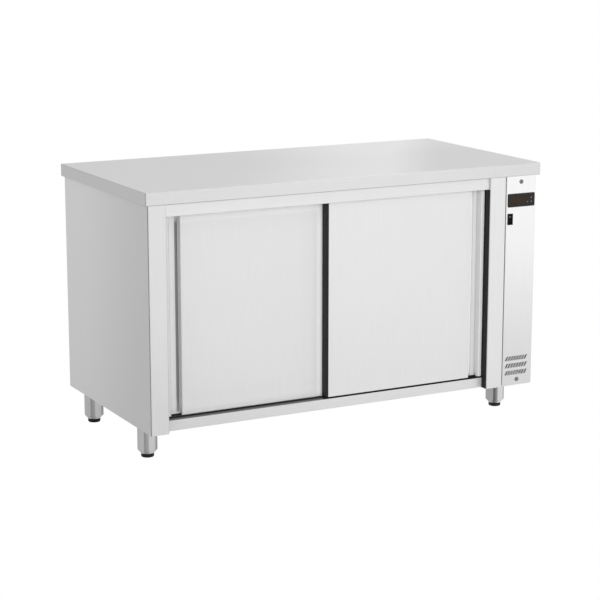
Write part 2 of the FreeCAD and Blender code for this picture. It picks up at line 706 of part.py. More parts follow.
def make_door_hangers(outer_edge, side, face):
    """Two hanger plates that stand in a door's top, each with its axle."""
    hangers = []
    front = face + DOOR_THICKNESS / 2 + HANGER_OFFSET
    for place in roller_places(outer_edge, side):
        half = HANGER_WIDTH / 2
        neck = HANGER_SHOULDER / 2
        rounded = AXLE_HEAD_RADIUS
        crown = AXLE_Z + AXLE_HEAD_RADIUS
        points = [(place - half, DOOR_TOP - HANGER_DEPTH), (place + half, DOOR_TOP - HANGER_DEPTH),
                  (place + half, DOOR_TOP), (place + neck, crown), (place - neck, crown), (place - half, DOOR_TOP)]
        plate = prism_y(outline(points, [0, 0, 0, rounded, rounded, 0], along_y), front, front + HANGER_SHEET)
        axle_front = face + DOOR_THICKNESS / 2 + LEDGE_EDGE - ROLLER_TREAD - CLEARANCE
        roller_back = face + DOOR_THICKNESS / 2 + LEDGE_EDGE + ROLLER_FLANGE_GAP + ROLLER_FLANGE + CLEARANCE
        axle = rod(AXLE_RADIUS, FreeCAD.Vector(place, axle_front, AXLE_Z), FreeCAD.Vector(place, front, AXLE_Z))
        head = rod(AXLE_HEAD_RADIUS, FreeCAD.Vector(place, axle_front - AXLE_HEAD, AXLE_Z),
                   FreeCAD.Vector(place, axle_front, AXLE_Z))
        spacer = rod(SPACER_RADIUS, FreeCAD.Vector(place, roller_back, AXLE_Z), FreeCAD.Vector(place, front, AXLE_Z))
        hangers.append(plate.fuse([axle, head, spacer]).removeSplitter())
    return group(hangers)


def make_roller(place, face):
    """A flanged roller on a hanger's axle. Its flange hangs behind the ledge's edge."""
    ledge_edge = face + DOOR_THICKNESS / 2 + LEDGE_EDGE
    tread_front = ledge_edge - ROLLER_TREAD
    flange_front = ledge_edge + ROLLER_FLANGE_GAP
    flange_back = flange_front + ROLLER_FLANGE
    tread = rod(ROLLER_RADIUS, FreeCAD.Vector(place, tread_front, AXLE_Z), FreeCAD.Vector(place, flange_front, AXLE_Z))
    flange = rod(ROLLER_FLANGE_RADIUS, FreeCAD.Vector(place, flange_front, AXLE_Z),
                 FreeCAD.Vector(place, flange_back, AXLE_Z))
    bore = rod(AXLE_RADIUS + RUNNING_FIT, FreeCAD.Vector(place, tread_front - OVERRUN, AXLE_Z),
               FreeCAD.Vector(place, flange_back + OVERRUN, AXLE_Z))
    return tread.fuse(flange).removeSplitter().cut(bore)


def make_door_guides(outer_edge, side, face):
    """Two nylon shoes in a door's bottom groove, each astride the guide's rib."""
    shoes = []
    middle = face + DOOR_THICKNESS / 2
    slot_half = GUIDE_RIB / 2 + CLEARANCE
    for reach in (SHOE_INSET, DOOR_WIDTH - SHOE_INSET):
        centre = outer_edge + side * reach
        low = centre - SHOE_LENGTH / 2
        high = centre + SHOE_LENGTH / 2
        shoe = block(low, high, middle - GROOVE_WIDTH / 2, middle + GROOVE_WIDTH / 2, DOOR_BOTTOM,
                     DOOR_BOTTOM + GROOVE_DEPTH)
        slot = block(low - OVERRUN, high + OVERRUN, middle - slot_half, middle + slot_half, DOOR_BOTTOM - OVERRUN,
                     DOOR_BOTTOM + SHOE_HEIGHT)
        shoes.append(shoe.cut(slot))
    return group(shoes)


def make_edge_strip():
    """The black strip round the right door's inner edge, with a fin towards the left door."""
    inner_edge = RIGHT_DOOR_EDGE - DOOR_WIDTH
    skin_edge = inner_edge + EDGE_STRIP
    front = FRONT_DOOR_Y - EDGE_STRIP_PROUD
    back = FRONT_DOOR_Y + DOOR_THICKNESS
    points = [(inner_edge, back), (inner_edge, front), (inner_edge + EDGE_STRIP_COVER, front),
              (inner_edge + EDGE_STRIP_COVER, FRONT_DOOR_Y), (skin_edge, FRONT_DOOR_Y), (skin_edge, back),
              (skin_edge + FIN_WIDTH, back), (inner_edge + EDGE_STRIP / 2, back + FIN_REACH)]
    round_edge = EDGE_STRIP_PROUD / 2
    face = outline(points, [0, round_edge * 2, round_edge, 0, 0, 0, 0, 0])
    return prism_z(face, DOOR_BOTTOM, DOOR_TOP).cut(door_groove(RIGHT_DOOR_EDGE, -1, FRONT_DOOR_Y))


def make_shelf():
    """The shelf, folded down and turned in along its front and back."""
    front = JAMB_BACK + SHELF_FRONT_GAP
    back = INNER_BACK - SHELF_BACK_GAP
    low = SHELF_TOP - SHELF_EDGE
    path = [(back - SHELF_LIP, low), (back, low), (back, SHELF_TOP), (front, SHELF_TOP), (front, low),
            (front + SHELF_LIP, low)]
    side = UPRIGHT_DEPTH + SHELF_SIDE_GAP
    return prism_x(folded_face(path, SHEET, BEND, along_x), INNER_LEFT + side, INNER_RIGHT - side)


def upright_places():
    """The wall face, the way in, and the middle in depth of each shelf upright."""
    return [(wall, way, middle) for wall, way in ((INNER_LEFT, 1), (INNER_RIGHT, -1))
            for middle in (JAMB_BACK + UPRIGHT_INSET, INNER_BACK - UPRIGHT_INSET)]


def make_uprights():
    """Four slotted channels on the side walls that carry the shelf clips."""
    uprights = []
    for wall, way, middle in upright_places():
        half = UPRIGHT_WIDTH / 2
        face = wall + way * UPRIGHT_DEPTH
        low, high = sorted((wall, face))
        channel = block(low, high, middle - half, middle + half, FLOOR, UPRIGHT_TOP)
        inner_low, inner_high = sorted((wall - way * OVERRUN, face - way * SHEET))
        cuts = [block(inner_low, inner_high, middle - half + SHEET, middle + half - SHEET, FLOOR - OVERRUN, CEILING)]
        for number in range(SLOT_COUNT):
            bottom = FLOOR + SLOT_FIRST + number * SLOT_PITCH
            cuts.append(block(low - OVERRUN, high + OVERRUN, middle - SLOT_WIDTH / 2, middle + SLOT_WIDTH / 2, bottom,
                              bottom + SLOT_HEIGHT))
        uprights.append(channel.cut(cuts))
    return group(uprights)


def make_shelf_clips():
    """Four bent clips that hook into the uprights and carry the shelf's ends."""
    clips = []
    for wall, way, middle in upright_places():
        face = wall + way * UPRIGHT_DEPTH
        half = SLOT_WIDTH / 2 - CLEARANCE
        top = SHELF_TOP - SHEET
        arm_low, arm_high = sorted((face, face + way * CLIP_LENGTH))
        arm = block(arm_low, arm_high, middle - half, middle + half, top - CLIP_THICKNESS, top)
        slots_below = math.floor((SHELF_HEIGHT - SLOT_FIRST - SLOT_HEIGHT) / SLOT_PITCH)
        slot_bottom = FLOOR + SLOT_FIRST + SLOT_PITCH * slots_below
        plate_low, plate_high = sorted((face, face + way * CLIP_THICKNESS))
        plate = block(plate_low, plate_high, middle - half, middle + half, slot_bottom, top)
        tongue_low, tongue_high = sorted((face - way * CLIP_TONGUE, face))
        tongue = block(tongue_low, tongue_high, middle - half, middle + half, slot_bottom,
                       slot_bottom + SLOT_HEIGHT - CLEARANCE)
        clips.append(arm.fuse([plate, tongue]).removeSplitter())
    return group(clips)


def foot_places():
    """The name and the plan place of each foot."""
    left = LEFT + FOOT_INSET_SIDE
    right = RIGHT - FOOT_INSET_RIGHT
    front = FRONT + FOOT_INSET_FRONT
    back = BACK - FOOT_INSET_BACK
    return {"front_left": (left, front), "front_right": (right, front), "back_left": (left, back),
            "back_right": (right, back)}


def make_foot_sleeves():
    """Four round steel sleeves with a tapered lower end, a top plate and a threaded collar inside."""
    taper_top = FOOT_TIP_HEIGHT + FOOT_CHAMFER_HEIGHT
    inner = FOOT_RADIUS - FOOT_WALL
    bore = FOOT_STEM_RADIUS + RUNNING_FIT
    mouth = FOOT_TIP_RADIUS - FOOT_WALL
    collar_top = taper_top + FOOT_COLLAR_HEIGHT
    plate = BASE - FOOT_PLATE
    section = [(bore, FOOT_TIP_HEIGHT + FOOT_WALL), (mouth, FOOT_TIP_HEIGHT + FOOT_WALL), (mouth, FOOT_TIP_HEIGHT),
               (FOOT_TIP_RADIUS, FOOT_TIP_HEIGHT), (FOOT_RADIUS, taper_top), (FOOT_RADIUS, BASE), (0, BASE),
               (0, plate), (inner, plate), (inner, collar_top), (bore, collar_top)]
    sleeve = plain_outline(section, along_y).revolve(FreeCAD.Vector(0, 0, 0), FreeCAD.Vector(0, 0, BASE), 360)
    return group([sleeve.translated(FreeCAD.Vector(x, y, 0)) for x, y in foot_places().values()])


def make_foot(place):
    """One black foot with its stem. Its lower rim and the top of the stem are chamfered."""
    edge = FOOT_TIP_ROUND
    rim = FOOT_TIP_RADIUS - CLEARANCE
    top = FOOT_TIP_HEIGHT - CLEARANCE
    section = [(0, 0), (rim - edge, 0), (rim, edge), (rim, top), (FOOT_STEM_RADIUS, top),
               (FOOT_STEM_RADIUS, FOOT_STEM_TOP - FOOT_WALL), (FOOT_STEM_RADIUS - FOOT_WALL, FOOT_STEM_TOP),
               (0, FOOT_STEM_TOP)]
    foot = plain_outline(section, along_y).revolve(FreeCAD.Vector(0, 0, 0), FreeCAD.Vector(0, 0, BASE), 360)
    return foot.translated(FreeCAD.Vector(place[0], place[1], 0))


def make_control_cover():
    """The right-hand outer side of the control bay, with a flange behind the fascia and one at the back."""
    front = FASCIA_Y + FASCIA_LIP
    path = [(RIGHT - COVER_FLANGE, front), (RIGHT, front), (RIGHT, BACK), (RIGHT - BACK_FLANGE, BACK)]
    return prism_z(folded_face(path, SHEET, BEND), BASE, TOP)


def vent_slot(left, bottom):
    """One slanted slot of the fascia's vent, as a cutter."""
    points = [(left, bottom), (left + VENT_SLOT_WIDTH, bottom),
              (left + VENT_SLOT_WIDTH + VENT_SLANT, bottom + VENT_SLOT_HEIGHT),
              (left + VENT_SLANT, bottom + VENT_SLOT_HEIGHT)]
    face = plain_outline(points, along_y)
    return prism_y(face, FASCIA_Y - OVERRUN, FASCIA_Y + FASCIA_SHEET + OVERRUN)


def bezel_corner():
    """The left edge and the bottom of the controller's bezel."""
    return CONTROL_LEFT + BEZEL_LEFT_INSET, TOP - BEZEL_TOP_INSET - BEZEL_HEIGHT


def rocker_corner():
    """The left edge and the bottom of the rocker switch's frame."""
    return CONTROL_LEFT + BEZEL_LEFT_INSET, TOP - ROCKER_TOP_INSET - ROCKER_HEIGHT


def case_inset():
    """How far the controller's case is inside its bezel, across and up."""
    return (BEZEL_WIDTH - CASE_WIDTH) / 2, (BEZEL_HEIGHT - CASE_HEIGHT) / 2


def screw_places():
    """The places of the two fascia screws."""
    middle = CONTROL_LEFT + CONTROL_WIDTH / 2
    return [(middle, TOP - SCREW_END_INSET), (middle, BASE + SCREW_END_INSET)]


def make_control_fascia():
    """The fascia of the control bay, with its vent slots and the openings for the controller and the switch."""
    path = [(CONTROL_LEFT, FASCIA_Y + FASCIA_RETURN), (CONTROL_LEFT, FASCIA_Y), (RIGHT, FASCIA_Y),
            (RIGHT, FASCIA_Y + FASCIA_LIP)]
    bend = FASCIA_SHEET + BEND / 2
    fascia = prism_z(folded_face(path, FASCIA_SHEET, bend), BASE, TOP)
    front = FASCIA_Y - OVERRUN
    back = FASCIA_Y + FASCIA_SHEET + OVERRUN
    corner_points = [(CONTROL_LEFT - OVERRUN, BASE), (RIGHT, BASE), (RIGHT, TOP + OVERRUN),
                     (CONTROL_LEFT - OVERRUN, TOP + OVERRUN)]
    trim = prism_y(outline(corner_points, [0, FASCIA_CORNER, 0, 0], along_y), front, FASCIA_Y + FASCIA_RETURN + OVERRUN)
    fascia = fascia.common(trim)
    cuts = []
    for row in range(VENT_ROWS):
        for number in range(VENT_SLOTS):
            cuts.append(vent_slot(CONTROL_LEFT + VENT_FIRST_X + number * VENT_PITCH_X,
                                  BASE + VENT_FIRST_Z + row * VENT_PITCH_Z))
    bezel_left, bezel_low = bezel_corner()
    across, up = case_inset()
    cuts.append(block(bezel_left + across - CLEARANCE, bezel_left + BEZEL_WIDTH - across + CLEARANCE, front, back,
                      bezel_low + up - CLEARANCE, bezel_low + BEZEL_HEIGHT - up + CLEARANCE))
    rocker_left, rocker_low = rocker_corner()
    rim = ROCKER_RIM - CLEARANCE
    cuts.append(block(rocker_left + rim, rocker_left + ROCKER_WIDTH - rim, front, back, rocker_low + rim,
                      rocker_low + ROCKER_HEIGHT - rim))
    for x, z in screw_places():
        cuts.append(rod(SCREW_STEM + CLEARANCE, FreeCAD.Vector(x, front, z), FreeCAD.Vector(x, back, z)))
    return fascia.cut(cuts)


def make_fascia_screws():
    """The two screws that hold the fascia, with a domed and dimpled head."""
    screws = []
    for x, z in screw_places():
        head = rod(SCREW_RADIUS, FreeCAD.Vector(x, FASCIA_Y - SCREW_HEAD, z), FreeCAD.Vector(x, FASCIA_Y, z))
        rim = [edge for edge in head.Edges if edge.BoundBox.Center.y < FASCIA_Y - SCREW_HEAD / 2
               and edge.BoundBox.YLength < SCREW_HEAD / 2]
        head = head.makeChamfer(SCREW_HEAD / 2, rim)
        stem = rod(SCREW_STEM, FreeCAD.Vector(x, FASCIA_Y, z), FreeCAD.Vector(x, FASCIA_Y + SCREW_STEM_LENGTH, z))
        dimple = rod(SCREW_RECESS_RADIUS, FreeCAD.Vector(x, FASCIA_Y - SCREW_HEAD - OVERRUN, z),
                     FreeCAD.Vector(x, FASCIA_Y - SCREW_HEAD + SCREW_RECESS, z))
        screws.append(head.fuse(stem).removeSplitter().cut(dimple))
    return group(screws)


def key_places():
    """The name and the middle of each of the controller's keys."""
    bezel_left, bezel_low = bezel_corner()
    right = bezel_left + BEZEL_WIDTH - KEY_RIGHT_INSET
    top = bezel_low + BEZEL_HEIGHT - KEY_TOP_INSET
    return {"up_key": (right, top), "down_key": (right, top - KEY_PITCH_Z),
            "set_key": (right - KEY_PITCH_X, top - KEY_PITCH_Z)}


def make_controller_case():
    """The temperature controller's bezel and case, with the window's seat and the keys' wells."""
    left, low = bezel_corner()
    bezel_points = [(left, low), (left + BEZEL_WIDTH, low), (left + BEZEL_WIDTH, low + BEZEL_HEIGHT),
                    (left, low + BEZEL_HEIGHT)]
    bezel = prism_y(outline(bezel_points, [BEZEL_ROUND] * 4, along_y), BEZEL_Y, FASCIA_Y)
    across, up = case_inset()
    body = block(left + across, left + BEZEL_WIDTH - across, FASCIA_Y, FASCIA_Y + CASE_DEPTH, low + up,
                 low + BEZEL_HEIGHT - up)
    case = bezel.fuse(body).removeSplitter()
    window_low = low + (BEZEL_HEIGHT - WINDOW_HEIGHT) / 2
    cuts = [block(left + WINDOW_INSET, left + WINDOW_INSET + WINDOW_WIDTH, BEZEL_Y - OVERRUN, BEZEL_Y + WINDOW_DEPTH,
                  window_low, window_low + WINDOW_HEIGHT)]
    for x, z in key_places().values():
        half_width = KEY_WIDTH / 2 + CLEARANCE
        half_height = KEY_HEIGHT / 2 + CLEARANCE
        cuts.append(block(x - half_width, x + half_width, BEZEL_Y - OVERRUN, BEZEL_Y + KEY_WELL,
                          z - half_height, z + half_height))
    return case.cut(cuts)


def make_controller_window():
    """The smoked window over the controller's display."""
    left, low = bezel_corner()
    window_low = low + (BEZEL_HEIGHT - WINDOW_HEIGHT) / 2
    return block(left + WINDOW_INSET, left + WINDOW_INSET + WINDOW_WIDTH, BEZEL_Y, BEZEL_Y + WINDOW_DEPTH,
                 window_low, window_low + WINDOW_HEIGHT)


def make_key(place):
    """One key of the controller, a small block with rounded corners."""
    x, z = place
    half_width = KEY_WIDTH / 2
    half_height = KEY_HEIGHT / 2
    front = BEZEL_Y - KEY_PROUD
    points = [(x - half_width, z - half_height), (x + half_width, z - half_height), (x + half_width, z + half_height),
              (x - half_width, z + half_height)]
    return prism_y(outline(points, [KEY_ROUND] * 4, along_y), front, front + KEY_LENGTH)


def make_rocker_frame():
    """The rocker switch's frame and body."""
    left, low = rocker_corner()
    front = FASCIA_Y - ROCKER_PROUD
    points = [(left, low), (left + ROCKER_WIDTH, low), (left + ROCKER_WIDTH, low + ROCKER_HEIGHT),
              (left, low + ROCKER_HEIGHT)]
    rim = prism_y(outline(points, [ROCKER_RIM / 2] * 4, along_y), front, FASCIA_Y)
    inset = ROCKER_RIM
    body = block(left + inset, left + ROCKER_WIDTH - inset, FASCIA_Y, FASCIA_Y + ROCKER_BODY_DEPTH, low + inset,
                 low + ROCKER_HEIGHT - inset)
    frame = rim.fuse(body).removeSplitter()
    wall = ROCKER_RIM / 2
    well = block(left + inset + wall, left + ROCKER_WIDTH - inset - wall, front - OVERRUN,
                 front + ROCKER_THICKNESS * 2, low + inset + wall, low + ROCKER_HEIGHT - inset - wall)
    pin_y, pin_z = rocker_pivot()
    pin_hole = rod(ROCKER_PIN_RADIUS + RUNNING_FIT, FreeCAD.Vector(left + inset + wall / 2, pin_y, pin_z),
                   FreeCAD.Vector(left + ROCKER_WIDTH - inset - wall / 2, pin_y, pin_z))
    return frame.cut([well, pin_hole])


def rocker_pivot():
    """The Y and Z of the rocker's pivot."""
    left, low = rocker_corner()
    return FASCIA_Y + ROCKER_THICKNESS, low + ROCKER_HEIGHT / 2


def make_rocker():
    """The rocker, tilted so that its upper half is pressed in, with its pivot pin."""
    left, low = rocker_corner()
    pin_y, pin_z = rocker_pivot()
    inset = ROCKER_RIM + ROCKER_RIM / 2 + CLEARANCE
    half = ROCKER_HEIGHT / 2 - ROCKER_RIM * 3 / 2 - ROCKER_END_GAP
    front = FASCIA_Y - ROCKER_FACE
    hollow = ROCKER_FACE
    rear = pin_y + ROCKER_PIN_RADIUS + CLEARANCE * 2
    points = [(front, pin_z - half), (front + hollow, pin_z), (front, pin_z + half), (rear - ROCKER_THICKNESS / 2,
              pin_z + half), (rear, pin_z), (rear - ROCKER_THICKNESS / 2, pin_z - half)]
    body = prism_x(plain_outline(points, along_x), left + inset, left + ROCKER_WIDTH - inset)
    body.rotate(FreeCAD.Vector(left, pin_y, pin_z), FreeCAD.Vector(ROCKER_WIDTH, 0, 0), -ROCKER_TILT)
    wall = ROCKER_RIM / 2
    reach = ROCKER_RIM + wall / 2 + CLEARANCE
    pin = rod(ROCKER_PIN_RADIUS, FreeCAD.Vector(left + reach, pin_y, pin_z),
              FreeCAD.Vector(left + ROCKER_WIDTH - reach, pin_y, pin_z))
    return body.fuse(pin)


def make_heater_housing():
    """The shallow air duct behind the right wall, with its flange, the motor's hole and the heater's holes."""
    sheet_back = INNER_RIGHT + SHEET
    half = DUCT_LENGTH / 2
    low = FLOOR + DUCT_BOTTOM
    high = low + DUCT_HEIGHT
    shell = block(sheet_back, DUCT_BACK, FAN_Y - half, FAN_Y + half, low, high)
    flange = block(sheet_back, sheet_back + SHEET, FAN_Y - half - DUCT_FLANGE, FAN_Y + half + DUCT_FLANGE,
                   low - DUCT_FLANGE, high + DUCT_FLANGE)
    hollow = block(sheet_back - OVERRUN, DUCT_BACK - SHEET, FAN_Y - half + SHEET, FAN_Y + half - SHEET, low + SHEET,
                   high - SHEET)
    housing = shell.fuse(flange).cut(hollow)
    holes = [rod(SHAFT_RADIUS * 2, FreeCAD.Vector(DUCT_BACK - OVERRUN, FAN_Y, FAN_Z),
                 FreeCAD.Vector(DUCT_BACK + OVERRUN, FAN_Y, FAN_Z))]
    for y, z in ring_leg_places():
        holes.append(rod(RING_TUBE + CLEARANCE, FreeCAD.Vector(DUCT_BACK - OVERRUN, y, z),
                         FreeCAD.Vector(DUCT_BACK + OVERRUN, y, z)))
    return housing.cut(holes)


def ring_leg_places():
    """Where the ring heater's two legs leave the duct."""
    places = []
    for side in (-1, 1):
        angle = math.radians(RING_LEG_ANGLE) * side
        places.append((FAN_Y + RING_RADIUS * math.sin(angle), FAN_Z - RING_RADIUS * math.cos(angle)))
    return places


def make_ring_heater():
    """The tubular heater: an open ring round the fan wheel with two legs out through the duct's back."""
    ring_x = FAN_X + FAN_WIDTH / 2
    centre = FreeCAD.Vector(0, FAN_Y, FAN_Z)
    axis = FreeCAD.Vector(FAN_WIDTH, 0, 0)
    section = []
    for corner in range(RING_SIDES):
        angle = math.tau * (corner + 0.5) / RING_SIDES
        section.append((ring_x + RING_TUBE * math.cos(angle), FAN_Z + RING_RADIUS + RING_TUBE * math.sin(angle)))
    face = plain_outline(section, along_y).translated(FreeCAD.Vector(0, FAN_Y, 0))
    face.rotate(centre, axis, 180 + RING_LEG_ANGLE)
    ring = face.revolve(centre, axis, 360 - RING_LEG_ANGLE * 2)
    legs = []
    for y, z in ring_leg_places():
        legs.append(rod(RING_TUBE, FreeCAD.Vector(ring_x - RING_TUBE, y, z),
                        FreeCAD.Vector(DUCT_BACK + RING_LEG_OUT, y, z)))
    return ring.fuse(legs)


def blade_face():
    """The plan of one backward-curved blade, seen along the fan's axis."""
    outer = FAN_BLADE_OUTER
    inner = FAN_BLADE_INNER
    bow = FAN_BLADE_BOW
    lean = FAN_BLADE_LEAN
    sheet = FAN_BLADE_SHEET
    middle = (inner + outer) / 2
    front = Part.Arc(along_x(0, inner), along_x(bow, middle), along_x(lean, outer)).toShape()
    tip = Part.LineSegment(along_x(lean, outer), along_x(lean + sheet, outer)).toShape()
    back = Part.Arc(along_x(lean + sheet, outer), along_x(bow + sheet, middle), along_x(sheet, inner)).toShape()
    foot = Part.LineSegment(along_x(sheet, inner), along_x(0, inner)).toShape()
    return Part.Face(Part.Wire([front, tip, back, foot]))


def make_fan_wheel():
    """The fan wheel: a back plate with its hub and shaft, curved blades and a front ring."""
    axis = FreeCAD.Vector(FAN_WIDTH, 0, 0)
    origin = FreeCAD.Vector(0, 0, 0)
    plate_x = FAN_WIDTH - FAN_PLATE
    plate = rod(FAN_RADIUS, FreeCAD.Vector(plate_x, 0, 0), FreeCAD.Vector(FAN_WIDTH, 0, 0))
    ring = rod(FAN_RADIUS, origin, FreeCAD.Vector(FAN_PLATE, 0, 0)).cut(
        rod(FAN_RADIUS - FAN_RING, FreeCAD.Vector(-OVERRUN, 0, 0), FreeCAD.Vector(OVERRUN, 0, 0)))
    hub = rod(FAN_HUB_RADIUS, FreeCAD.Vector(plate_x - FAN_HUB_RADIUS, 0, 0), FreeCAD.Vector(FAN_WIDTH, 0, 0))
    shaft_end = DUCT_BACK - FAN_X + MOTOR_FLANGE + SHAFT_DEPTH
    shaft = rod(SHAFT_RADIUS, FreeCAD.Vector(FAN_WIDTH, 0, 0), FreeCAD.Vector(shaft_end, 0, 0))
    blade = prism_x(blade_face(), FAN_PLATE / 2, plate_x + FAN_PLATE / 2)
    blades = []
    for number in range(FAN_BLADES):
        turned = blade.copy()
        turned.rotate(origin, axis, 360.0 / FAN_BLADES * number)
        blades.append(turned)
    wheel = plate.fuse([ring, hub, shaft] + blades)
    return wheel.translated(FreeCAD.Vector(FAN_X, FAN_Y, FAN_Z))


def make_fan_motor():
    """The fan motor on the duct's back, with its flange and the shaft's bore."""
    face = DUCT_BACK
    centre = FreeCAD.Vector(face, FAN_Y, FAN_Z)
    flange_end = centre + FreeCAD.Vector(MOTOR_FLANGE, 0, 0)
    body_end = flange_end + FreeCAD.Vector(MOTOR_LENGTH, 0, 0)
    flange = rod(MOTOR_FLANGE_RADIUS, centre, flange_end)
    body = rod(MOTOR_RADIUS, flange_end, body_end)
    cap = rod(MOTOR_END_RADIUS, body_end, body_end + FreeCAD.Vector(MOTOR_END, 0, 0))
    bore = rod(SHAFT_RADIUS + RUNNING_FIT, centre - FreeCAD.Vector(OVERRUN, 0, 0),
               flange_end + FreeCAD.Vector(SHAFT_DEPTH + OVERRUN, 0, 0))
    return flange.fuse([body, cap]).removeSplitter().cut(bore)


def make_safety_cutout():
    """The safety cut-out on the duct's back, a small can on a flat bracket."""
    face = DUCT_BACK
    y = FAN_Y
    z = FAN_Z + RING_RADIUS + CUTOUT_INSET
    half = CUTOUT_FLANGE_LENGTH / 2
    bracket = block(face, face + CUTOUT_FLANGE_SHEET, y - half, y + half, z - CUTOUT_RADIUS / 2, z + CUTOUT_RADIUS / 2)
    can = rod(CUTOUT_RADIUS, FreeCAD.Vector(face, y, z), FreeCAD.Vector(face + CUTOUT_LENGTH, y, z))
    return bracket.fuse(can).removeSplitter()


def make_temperature_probe():
    """The temperature probe, clipped flat to the right wall near the ceiling."""
    x = INNER_RIGHT - PROBE_CLIP
    z = CEILING - PROBE_DROP
    start = FreeCAD.Vector(x, FAN_Y - PROBE_LENGTH / 2, z)
    probe = rod(PROBE_RADIUS, start, start + FreeCAD.Vector(0, PROBE_LENGTH, 0))
    half = PROBE_CLIP_WIDTH / 2
    clip = block(x - PROBE_RADIUS - SHEET, INNER_RIGHT, FAN_Y - half, FAN_Y + half, z - PROBE_RADIUS - SHEET,
                 z + PROBE_RADIUS + SHEET)
    return probe.fuse(clip)


def make_terminal_block():
    """The mains terminal block, with a well over each screw."""
    left = (CONTROL_LEFT + RIGHT) / 2 - TERMINAL_POLES * TERMINAL_PITCH / 2
    back = BACK - TERMINAL_BACK_GAP
    low = BASE + SHEET
    front = back - TERMINAL_DEPTH
    rail = block(left, left + TERMINAL_POLES * TERMINAL_PITCH, front, back, low, low + TERMINAL_HEIGHT - TERMINAL_STEP)
    crown = block(left, left + TERMINAL_POLES * TERMINAL_PITCH, front + TERMINAL_STEP, back - TERMINAL_STEP, low,
                  low + TERMINAL_HEIGHT)
    wells = []
    for pole in range(TERMINAL_POLES):
        x = left + TERMINAL_PITCH * (pole + 0.5)
        top = low + TERMINAL_HEIGHT
        wells.append(rod(TERMINAL_SCREW_RADIUS, FreeCAD.Vector(x, (front + back) / 2, top - TERMINAL_SCREW_DEPTH),
                         FreeCAD.Vector(x, (front + back) / 2, top + OVERRUN)))
    return rail.fuse(crown).removeSplitter().cut(wells)


def gland_nut(x, z, y_low, y_high):
    """One of the gland's hexagonal nuts."""
    points = []
    for corner in range(6):
        angle = math.tau * corner / 6
        points.append((x + GLAND_NUT_RADIUS * math.cos(angle), z + GLAND_NUT_RADIUS * math.sin(angle)))
    return prism_y(plain_outline(points, along_y), y_low, y_high)


def make_cable_gland():
    """The cable gland through the back panel, with no cable in it."""
    x = RIGHT - BACK_FLANGE - GLAND_NUT_RADIUS * 2
    z = BASE + GLAND_HEIGHT
    inner_end = BACK - SHEET - GLAND_INNER_LENGTH
    nut_end = FreeCAD.Vector(x, BACK + GLAND_NUT_LENGTH, z)
    stem = rod(GLAND_RADIUS - GLAND_FIT, FreeCAD.Vector(x, inner_end, z), FreeCAD.Vector(x, BACK, z))
    lock_nut = gland_nut(x, z, inner_end + GLAND_INNER_LENGTH / 2, BACK - SHEET)
    nut = gland_nut(x, z, BACK, BACK + GLAND_NUT_LENGTH)
    dome = Part.makeCone(GLAND_RADIUS + SHEET, GLAND_BORE + SHEET, GLAND_DOME_LENGTH, nut_end,
                         FreeCAD.Vector(0, GLAND_DOME_LENGTH, 0))
    bore = rod(GLAND_BORE, FreeCAD.Vector(x, inner_end - OVERRUN, z),
               FreeCAD.Vector(x, nut_end.y + GLAND_DOME_LENGTH + OVERRUN, z))
    return stem.fuse([lock_nut, nut, dome]).removeSplitter().cut(bore)


def gland_hole():
    """The hole that the gland passes through in the back panel."""
    x = RIGHT - BACK_FLANGE - GLAND_NUT_RADIUS * 2
    z = BASE + GLAND_HEIGHT
    return rod(GLAND_RADIUS, FreeCAD.Vector(x, BACK - OVERRUN, z), FreeCAD.Vector(x, BACK + OVERRUN, z))


def make_door(name, outer_edge, side, face, skin_width):
    """All the pieces of one door except its edge strip."""
    pieces = {
        name + "_skin": make_door_skin(outer_edge, side, face, skin_width),
        name + "_liner": make_door_liner(outer_edge, side, face, skin_width),
        name + "_core": make_door_core(outer_edge, side, face, skin_width),
        name + "_hangers": make_door_hangers(outer_edge, side, face),
        name + "_guide_shoes": make_door_guides(outer_edge, side, face),
    }
    for end, place in zip(("outer", "inner"), roller_places(outer_edge, side)):
        pieces[f"{name}_{end}_roller"] = make_roller(place, face)
    return pieces


